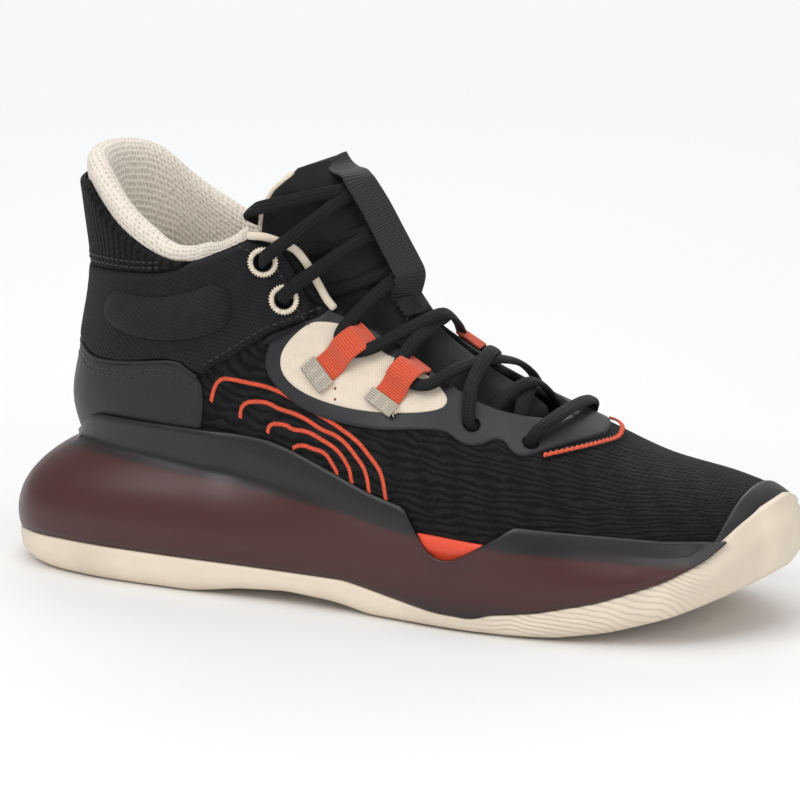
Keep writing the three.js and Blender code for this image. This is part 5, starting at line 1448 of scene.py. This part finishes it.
def make_heel_sewing():
    """Piping and double stitching along the heel cover, and the rows on the heel tab."""
    s = bpy.context.scene.high_top_sizes
    sewn = dict(spacing=s.stitch_spacing, length=s.stitch_length, thickness=s.stitch_thickness)
    points, normals = heel_line(COUNTER_TOP, 0.4, 1.35)
    settle(band("heel_piping", points, normals, 1.7, 1.7, finish("synthetic_leather"), around=12, squareness=2.0))
    stitches("heel_cover_stitches", [heel_line(COUNTER_TOP, d, 1.62) for d in (3.2, 5.6)], "black_thread", **sewn)
    stitches("heel_tab_stitches", [heel_line(TAB_LOW[:-2], d, 2.02) for d in (-2.0, -4.2)], "black_thread", **sewn)
    seam = [[79, 84.5], [84, 88], [90, 92], [101, 99], [111, 103], [119, 106.5]]
    rows = [surface_path(eased(seam), side, 1.0, height=2.4) for _, side in SIDES]
    stitches("collar_seam_stitches", rows, "black_thread", **sewn)
    top = [[s_, g + 0.055] for s_, g in BINDING_EDGE[1:]]
    rows = [surface_path(smoothed(top, 1.2), side, 1.0, height=2.4) for _, side in SIDES]
    stitches("collar_edge_stitches", rows, "black_thread", **sewn)


def make_eyelet_sewing():
    """Whip stitches round the ankle eyelets and over the collar's binding."""
    rims = []
    for _, side in SIDES:
        for key in ("ankle", "top"):
            points, n = ring_path(EYELETS[key], side, RIM_RADIUS, 3.75)
            points = np.vstack([points, points[:1]])
            rims.append((points, np.repeat(n[None], len(points), 0)))
    stitches("eyelet_whip_stitches", rims, "cream_thread", spacing=0.95, length=2.3, thickness=0.9, slant=76)
    edges = [surface_path(BINDING_EDGE, side, 1.0, height=1.55) for _, side in SIDES]
    stitches("binding_stitches", edges, "cream_thread", spacing=2.2, length=2.0, thickness=0.6, slant=64)


def make_tab_sewing():
    """Zigzag stitches on the loop tabs and the throat tape, and the rows on the strap's tab."""
    rows = []
    for _, side in SIDES:
        for station, along in LOOPS.values():
            for off in (-4.2, -1.4, 1.4, 4.2):
                line = [[station + off / 13.5, g + along] for g in (0.302, 0.292, 0.282)]
                rows.append(surface_path(line, side, 0.6, height=3.22))
    stitches("loop_tab_stitches", rows, "cream_thread", spacing=0.7, length=1.5, thickness=0.28, slant=52,
             alternate=1.0)
    stitches("throat_zigzag", [throat_tape(1.62)], "orange_thread", spacing=1.15, length=2.5, thickness=0.7,
             slant=58, alternate=1.0)
    lines = [[[s, g] for s in (8.05, 7.8, 7.58)] for g in (-0.092, 0.020)]
    lines += [[[s, g] for g in (-0.088, -0.05, -0.02, 0.016)] for s in (8.06, 7.6)]
    frame_line = [surface_path(line, 1, 0.7, height=1.52) for line in lines]
    stitches("strap_tab_stitches", frame_line, "black_thread", spacing=1.7, length=1.3, thickness=0.45)


def make_panel_dots():
    """The three small red dots sewn on each cream panel."""
    rows = [surface_path([[s, g - 0.001], [s, g + 0.001]], side, 0.1, height=1.35)
            for _, side in SIDES for s, g in ((7.42, 0.328), (7.72, 0.350), (7.28, 0.345))]
    stitches("panel_dots", rows, "red_thread", spacing=1.0, length=1.05, thickness=1.0)


def make_embroidery():
    """Orange sewn contour lines on the knit behind the ankle: nested ripples over the shell's edge."""
    turn = np.linspace(0, math.pi, 15)
    ripples = []
    for k in range(4):
        x = 119 + 2.5 * k - (38 - 9.5 * k) * np.cos(turn)
        rise = (17 - 4.3 * k) * np.sin(turn) ** 0.8 + 0.8 * np.sin(3 * turn + 0.8 * k)
        line = smoothed(from_side(np.column_stack([x, soft_profile(CAGE, x, 3) + 0.5 + rise])), 1.4)
        ripples += [surface_path(line, side, 0.9, height=0.12) for _, side in SIDES]
    stitches("contour_embroidery", ripples, "orange_thread", spacing=0.6, length=1.9, thickness=0.62, slant=66)


def make_tread():
    """Rows of wavy grip ribs under the sole."""
    s = sole()
    flat = s.level(s.tread_inset + 3.5, 0)[:, :2]
    rows = []
    for x0 in np.arange(-6, 292, 5.2):
        y = np.linspace(-52, 52, 121)
        x = x0 + 2.1 * np.abs(((y + 60) / 7.0) % 2 - 1)
        keep = inside([flat], np.column_stack([x, y]))
        run = []
        for i in range(len(y)):
            if keep[i]:
                run.append([x[i], y[i], soft_profile(TREAD, x[i], 3) + 0.75])
            if (not keep[i] or i == len(y) - 1) and len(run) > 4:
                rows.append((np.array(run), np.repeat([[0, 0, -1.0]], len(run), 0)))
            if not keep[i]:
                run = []
    ribs("tread_ribs", rows, "tread_rubber", 0.75, step=1.6)


def make_inner_parts():
    """The smooth insole and front lining inside, and the heel cushion in the foam."""
    across = 1.0 + np.linspace(-1, 1, 30) * 0.15
    shell = [np.vstack([off_last(np.full(30, s), across[::-1], np.full(30, -2.2)),
                        off_last(np.full(30, s), across, np.full(30, -5.9))]) for s in np.linspace(0.95, 9.2, 70)]
    piece = turned_out(loft("insole_pad", shell, finish("insole_cloth")))
    settle(piece, "insole", slot="board")
    front = []
    for s in np.linspace(0.9, 8.0, 60):
        throat = 0.0 if s < 4.2 else profile(THROAT, s) + 0.02
        g = np.concatenate([np.linspace(-0.88, -throat, 24), np.linspace(throat, 0.88, 24)])
        front.append(off_last(np.full(48, s), np.where(g == 0, 1e-6, g), np.full(48, -2.0)))
    faces = [f for f in ring_faces(len(front), 48, closed=False) if not (f[0] % 48 == 23 and f[0] // 48 >= 27)]
    lining = new_mesh("front_lining", np.vstack(front), faces, finish("lining_cloth"))
    settle(lining, "vamp_lining", slot="lining")
    a = np.linspace(0, 2 * math.pi, 64, endpoint=False)
    disc = [(0.0, 0), (21.5, 0), (22.6, 0.4), (23, 1.4), (23, 8), (22.6, 9), (21.5, 9.4), (0.0, 9.4)]
    rings = [[(45 + r * math.cos(t), -1 + r * math.sin(t), 20.5 + z) for t in a] for r, z in disc]
    cushion = turned_out(loft("heel_cushion_pad", rings, finish("core_foam")))
    settle(turned_out(cushion, WELD), "heel_cushion", slot="foam")


def paint_frame():
    """Gives every frame node that is still shown its own finish."""
    for node in ("strobel_board", "toe_puff", "heel_stiffener", "shank_plate"):
        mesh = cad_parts[node].data
        mesh.materials.clear()
        mesh.materials.append(finish("moulded_plastic" if node == "shank_plate" else "board_fibre"))


# ---------------------------------------------------------------------------------------------
# The stage
# ---------------------------------------------------------------------------------------------
BACKDROP = (0.93, 0.94, 0.95, 1)


def stage_material():
    """Pale paper that fades into an even glow away from the shoe."""
    r = Recipe("studio_paper", (0.87, 0.87, 0.87), 0.9, coords="Object")
    r.color(r.noise(2.0, 2.0), (0.87, 0.87, 0.87), (0.89, 0.89, 0.89), (0.3, 0.7))
    far = r.add("ShaderNodeVectorMath", {0: r.place}, operation="LENGTH").outputs["Value"]
    fade = r.ramp(r.times(far, 0.5), [(0.17, (0, 0, 0)), (0.6, (1, 1, 1))])
    glow = r.add("ShaderNodeEmission", {"Color": BACKDROP})
    r.blend(fade, r.shader.outputs[0], glow.outputs[0])
    return r.material


def area_light(name, place, aim, size, power):
    data = bpy.data.lights.new(name, "AREA")
    data.shape = "RECTANGLE"
    data.size, data.size_y = size
    data.energy = power
    lamp = linked(name, data)
    lamp.location = place
    lamp.rotation_euler = (Vector(aim) - Vector(place)).to_track_quat("-Z", "Y").to_euler()


def make_stage():
    """A pale plain floor, soft studio lights and the camera."""
    scene = bpy.context.scene
    settings = scene.high_top_stage
    mesh = bpy.data.meshes.new("floor")
    mesh.from_pydata([(-6, -6, 0), (6, -6, 0), (6, 6, 0), (-6, 6, 0)], [], [(0, 1, 2, 3)])
    mesh.materials.append(stage_material())
    linked("floor", mesh)
    for name, place, size in (("key", (-0.35, -1.1, 1.25), (1.1, 0.9)), ("fill", (1.3, -0.9, 0.7), (1.0, 1.0)),
                              ("top", (0.15, 0.1, 1.6), (1.6, 1.2)), ("back", (-0.5, 1.2, 0.9), (1.2, 0.8))):
        area_light(name, place, (0.1, 0, 0.06), size, getattr(settings, f"{name}_power"))
    world = bpy.data.worlds.new("studio")
    world.use_nodes = True
    nodes = world.node_tree.nodes
    around = nodes["Background"]
    around.inputs[0].default_value = (1, 1, 1, 1)
    around.inputs[1].default_value = settings.sky
    seen = add_node(world.node_tree, "ShaderNodeBackground", {0: BACKDROP})
    ray = add_node(world.node_tree, "ShaderNodeLightPath").outputs["Is Camera Ray"]
    choice = add_node(world.node_tree, "ShaderNodeMixShader", {0: ray, 1: around.outputs[0], 2: seen.outputs[0]})
    world.node_tree.links.new(choice.outputs[0], nodes["World Output"].inputs[0])
    scene.world = world
    az, el = math.radians(settings.azimuth), math.radians(settings.elevation)
    back = Vector((math.sin(az) * math.cos(el), -math.cos(az) * math.cos(el), math.sin(el)))
    up = back.cross(Vector((math.cos(az), math.sin(az), 0)))
    data = bpy.data.cameras.new("camera")
    data.lens = 171.4
    data.sensor_width = 36
    data.clip_start = 0.05
    camera = linked("camera", data)
    camera.location = Vector((0.095, 0, 0.075)) - up * 0.00551 + back * 1.4
    camera.rotation_euler = back.to_track_quat("Z", "Y").to_euler()
    scene.camera = camera
    scene.view_settings.view_transform = "Standard"
    scene.view_settings.look = "None"


# ---------------------------------------------------------------------------------------------
# Properties, operators and panel
# ---------------------------------------------------------------------------------------------
def color_property(name, description, default):
    return FloatVectorProperty(name=name, description=description, default=default, size=3, min=0, max=1,
                               subtype="COLOR")


class HIGHTOP_PG_finish(bpy.types.PropertyGroup):
    """Colours of the shoe."""

    black: color_property("Black", "Cloth, laces and leather", (0.014, 0.014, 0.016))
    cream: color_property("Cream", "Outsole, eyelet panels and cords", (0.85, 0.735, 0.59))
    lining: color_property("Lining", "Spacer mesh inside the collar", (0.82, 0.74, 0.64))
    orange: color_property("Orange", "Webbing and embroidery", (0.86, 0.10, 0.03))
    core: color_property("Core", "Midsole foam", (0.88, 0.085, 0.035))
    shell_low: color_property("Shell", "See-through shell where foam lies behind it", (0.050, 0.015, 0.014))


class HIGHTOP_PG_sizes(bpy.types.PropertyGroup):
    """Sizes of the sewing."""

    stitch_spacing: FloatProperty(name="Stitch spacing", description="From one stitch to the next, in mm",
                                  default=2.7, min=0.5, max=10)
    stitch_length: FloatProperty(name="Stitch length", description="Length of one stitch, in mm", default=2.1,
                                 min=0.3, max=8)
    stitch_thickness: FloatProperty(name="Thread", description="Thickness of the thread, in mm", default=0.6,
                                    min=0.1, max=2)


class HIGHTOP_PG_stage(bpy.types.PropertyGroup):
    """Lights and camera."""

    key_power: FloatProperty(name="Key", description="Power of the key light", default=11.5, min=0, unit="POWER")
    fill_power: FloatProperty(name="Fill", description="Power of the fill light", default=5, min=0, unit="POWER")
    top_power: FloatProperty(name="Top", description="Power of the top light", default=10.5, min=0, unit="POWER")
    back_power: FloatProperty(name="Back", description="Power of the back light", default=6, min=0, unit="POWER")
    sky: FloatProperty(name="Sky", description="Strength of the light from all round", default=0.4, min=0)
    azimuth: FloatProperty(name="Azimuth", description="Camera turn from the side, in degrees", default=25)
    elevation: FloatProperty(name="Elevation", description="Camera height, in degrees", default=13)


class BuildStep:
    """What every step's operator does: run its makers in turn."""

    makers = ()

    def execute(self, context):
        for make in self.makers:
            make()
        return {"FINISHED"}


class HIGHTOP_OT_outsole(BuildStep, bpy.types.Operator):
    """Build the cream rubber outsole and its tread ribs"""

    bl_idname = "high_top.outsole"
    bl_label = "Outsole"
    makers = (make_outsole, make_tread)


class HIGHTOP_OT_midsole(BuildStep, bpy.types.Operator):
    """Build the foam core and the smoky shell round it"""

    bl_idname = "high_top.midsole"
    bl_label = "Midsole and shell"
    makers = (make_core, make_cage)


class HIGHTOP_OT_upper(BuildStep, bpy.types.Operator):
    """Build the knit upper and the toe guard"""

    bl_idname = "high_top.upper"
    bl_label = "Upper"
    makers = (make_knit, make_toe_guard)


class HIGHTOP_OT_eyestay(BuildStep, bpy.types.Operator):
    """Build the film eyestay, its cream panels and their dots"""

    bl_idname = "high_top.eyestay"
    bl_label = "Eyestay"
    makers = (make_eyestay, make_eyelet_panels, make_panel_dots)


class HIGHTOP_OT_loops(BuildStep, bpy.types.Operator):
    """Build the orange lace loops, their tabs, the throat tape and their sewing"""

    bl_idname = "high_top.loops"
    bl_label = "Lace loops"
    makers = (make_loops, make_bar, make_tab_sewing)


class HIGHTOP_OT_heel(BuildStep, bpy.types.Operator):
    """Build the leather heel cover and the knit heel tab"""

    bl_idname = "high_top.heel"
    bl_label = "Heel"
    makers = (make_heel_cover, make_heel_tab, make_heel_sewing)


class HIGHTOP_OT_collar(BuildStep, bpy.types.Operator):
    """Build the ankle panel, its pods, the padding and the bindings"""

    bl_idname = "high_top.collar"
    bl_label = "Collar"
    makers = (make_collar_panel, make_pods, make_collar_padding, make_bindings)


class HIGHTOP_OT_eyelets(BuildStep, bpy.types.Operator):
    """Build the whip-stitched ankle eyelets"""

    bl_idname = "high_top.eyelets"
    bl_label = "Ankle eyelets"
    makers = (make_eyelet_rims, make_eyelet_sewing)


class HIGHTOP_OT_tongue(BuildStep, bpy.types.Operator):
    """Build the padded tongue and its pull strap"""

    bl_idname = "high_top.tongue"
    bl_label = "Tongue"
    makers = (make_tongue, make_strap)


class HIGHTOP_OT_lace(BuildStep, bpy.types.Operator):
    """Build the braided lace and its tips"""

    bl_idname = "high_top.lace"
    bl_label = "Lace"
    makers = (make_lace,)


class HIGHTOP_OT_embroidery(BuildStep, bpy.types.Operator):
    """Sew the orange contour lines on the knit"""

    bl_idname = "high_top.embroidery"
    bl_label = "Embroidery"
    makers = (make_embroidery,)


class HIGHTOP_OT_inside(BuildStep, bpy.types.Operator):
    """Build the insole, front lining and heel cushion, and finish the hidden boards"""

    bl_idname = "high_top.inside"
    bl_label = "Inside"
    makers = (make_inner_parts, paint_frame)


class HIGHTOP_OT_stage(BuildStep, bpy.types.Operator):
    """Set the floor, lights and camera"""

    bl_idname = "high_top.stage"
    bl_label = "Stage"
    makers = (make_stage,)


STEPS = (HIGHTOP_OT_outsole, HIGHTOP_OT_midsole, HIGHTOP_OT_upper, HIGHTOP_OT_eyestay, HIGHTOP_OT_loops,
         HIGHTOP_OT_heel, HIGHTOP_OT_collar, HIGHTOP_OT_eyelets, HIGHTOP_OT_tongue, HIGHTOP_OT_lace,
         HIGHTOP_OT_embroidery, HIGHTOP_OT_inside, HIGHTOP_OT_stage)


class HIGHTOP_PT_panel(bpy.types.Panel):
    """Colours, sizes and steps of the shoe"""

    bl_idname = "HIGHTOP_PT_panel"
    bl_label = "High Top"
    bl_space_type = "VIEW_3D"
    bl_region_type = "UI"
    bl_category = "High Top"

    def draw(self, context):
        scene = context.scene
        for group in (scene.high_top_finish, scene.high_top_sizes, scene.high_top_stage):
            box = self.layout.box()
            for key in group.__annotations__:
                box.prop(group, key)
        column = self.layout.column(align=True)
        for step in STEPS:
            column.operator(step.bl_idname)


GROUPS = {"high_top_finish": HIGHTOP_PG_finish, "high_top_sizes": HIGHTOP_PG_sizes,
          "high_top_stage": HIGHTOP_PG_stage}


def register():
    for cls in (*GROUPS.values(), *STEPS, HIGHTOP_PT_panel):
        bpy.utils.register_class(cls)
    for key, cls in GROUPS.items():
        setattr(bpy.types.Scene, key, PointerProperty(type=cls))


def unregister():
    for key in GROUPS:
        delattr(bpy.types.Scene, key)
    for cls in reversed((*GROUPS.values(), *STEPS, HIGHTOP_PT_panel)):
        bpy.utils.unregister_class(cls)


def main():
    register()
    for step in STEPS:
        area, action = step.bl_idname.split(".")
        getattr(getattr(bpy.ops, area), action)()


if __name__ == "__main__":
    main()
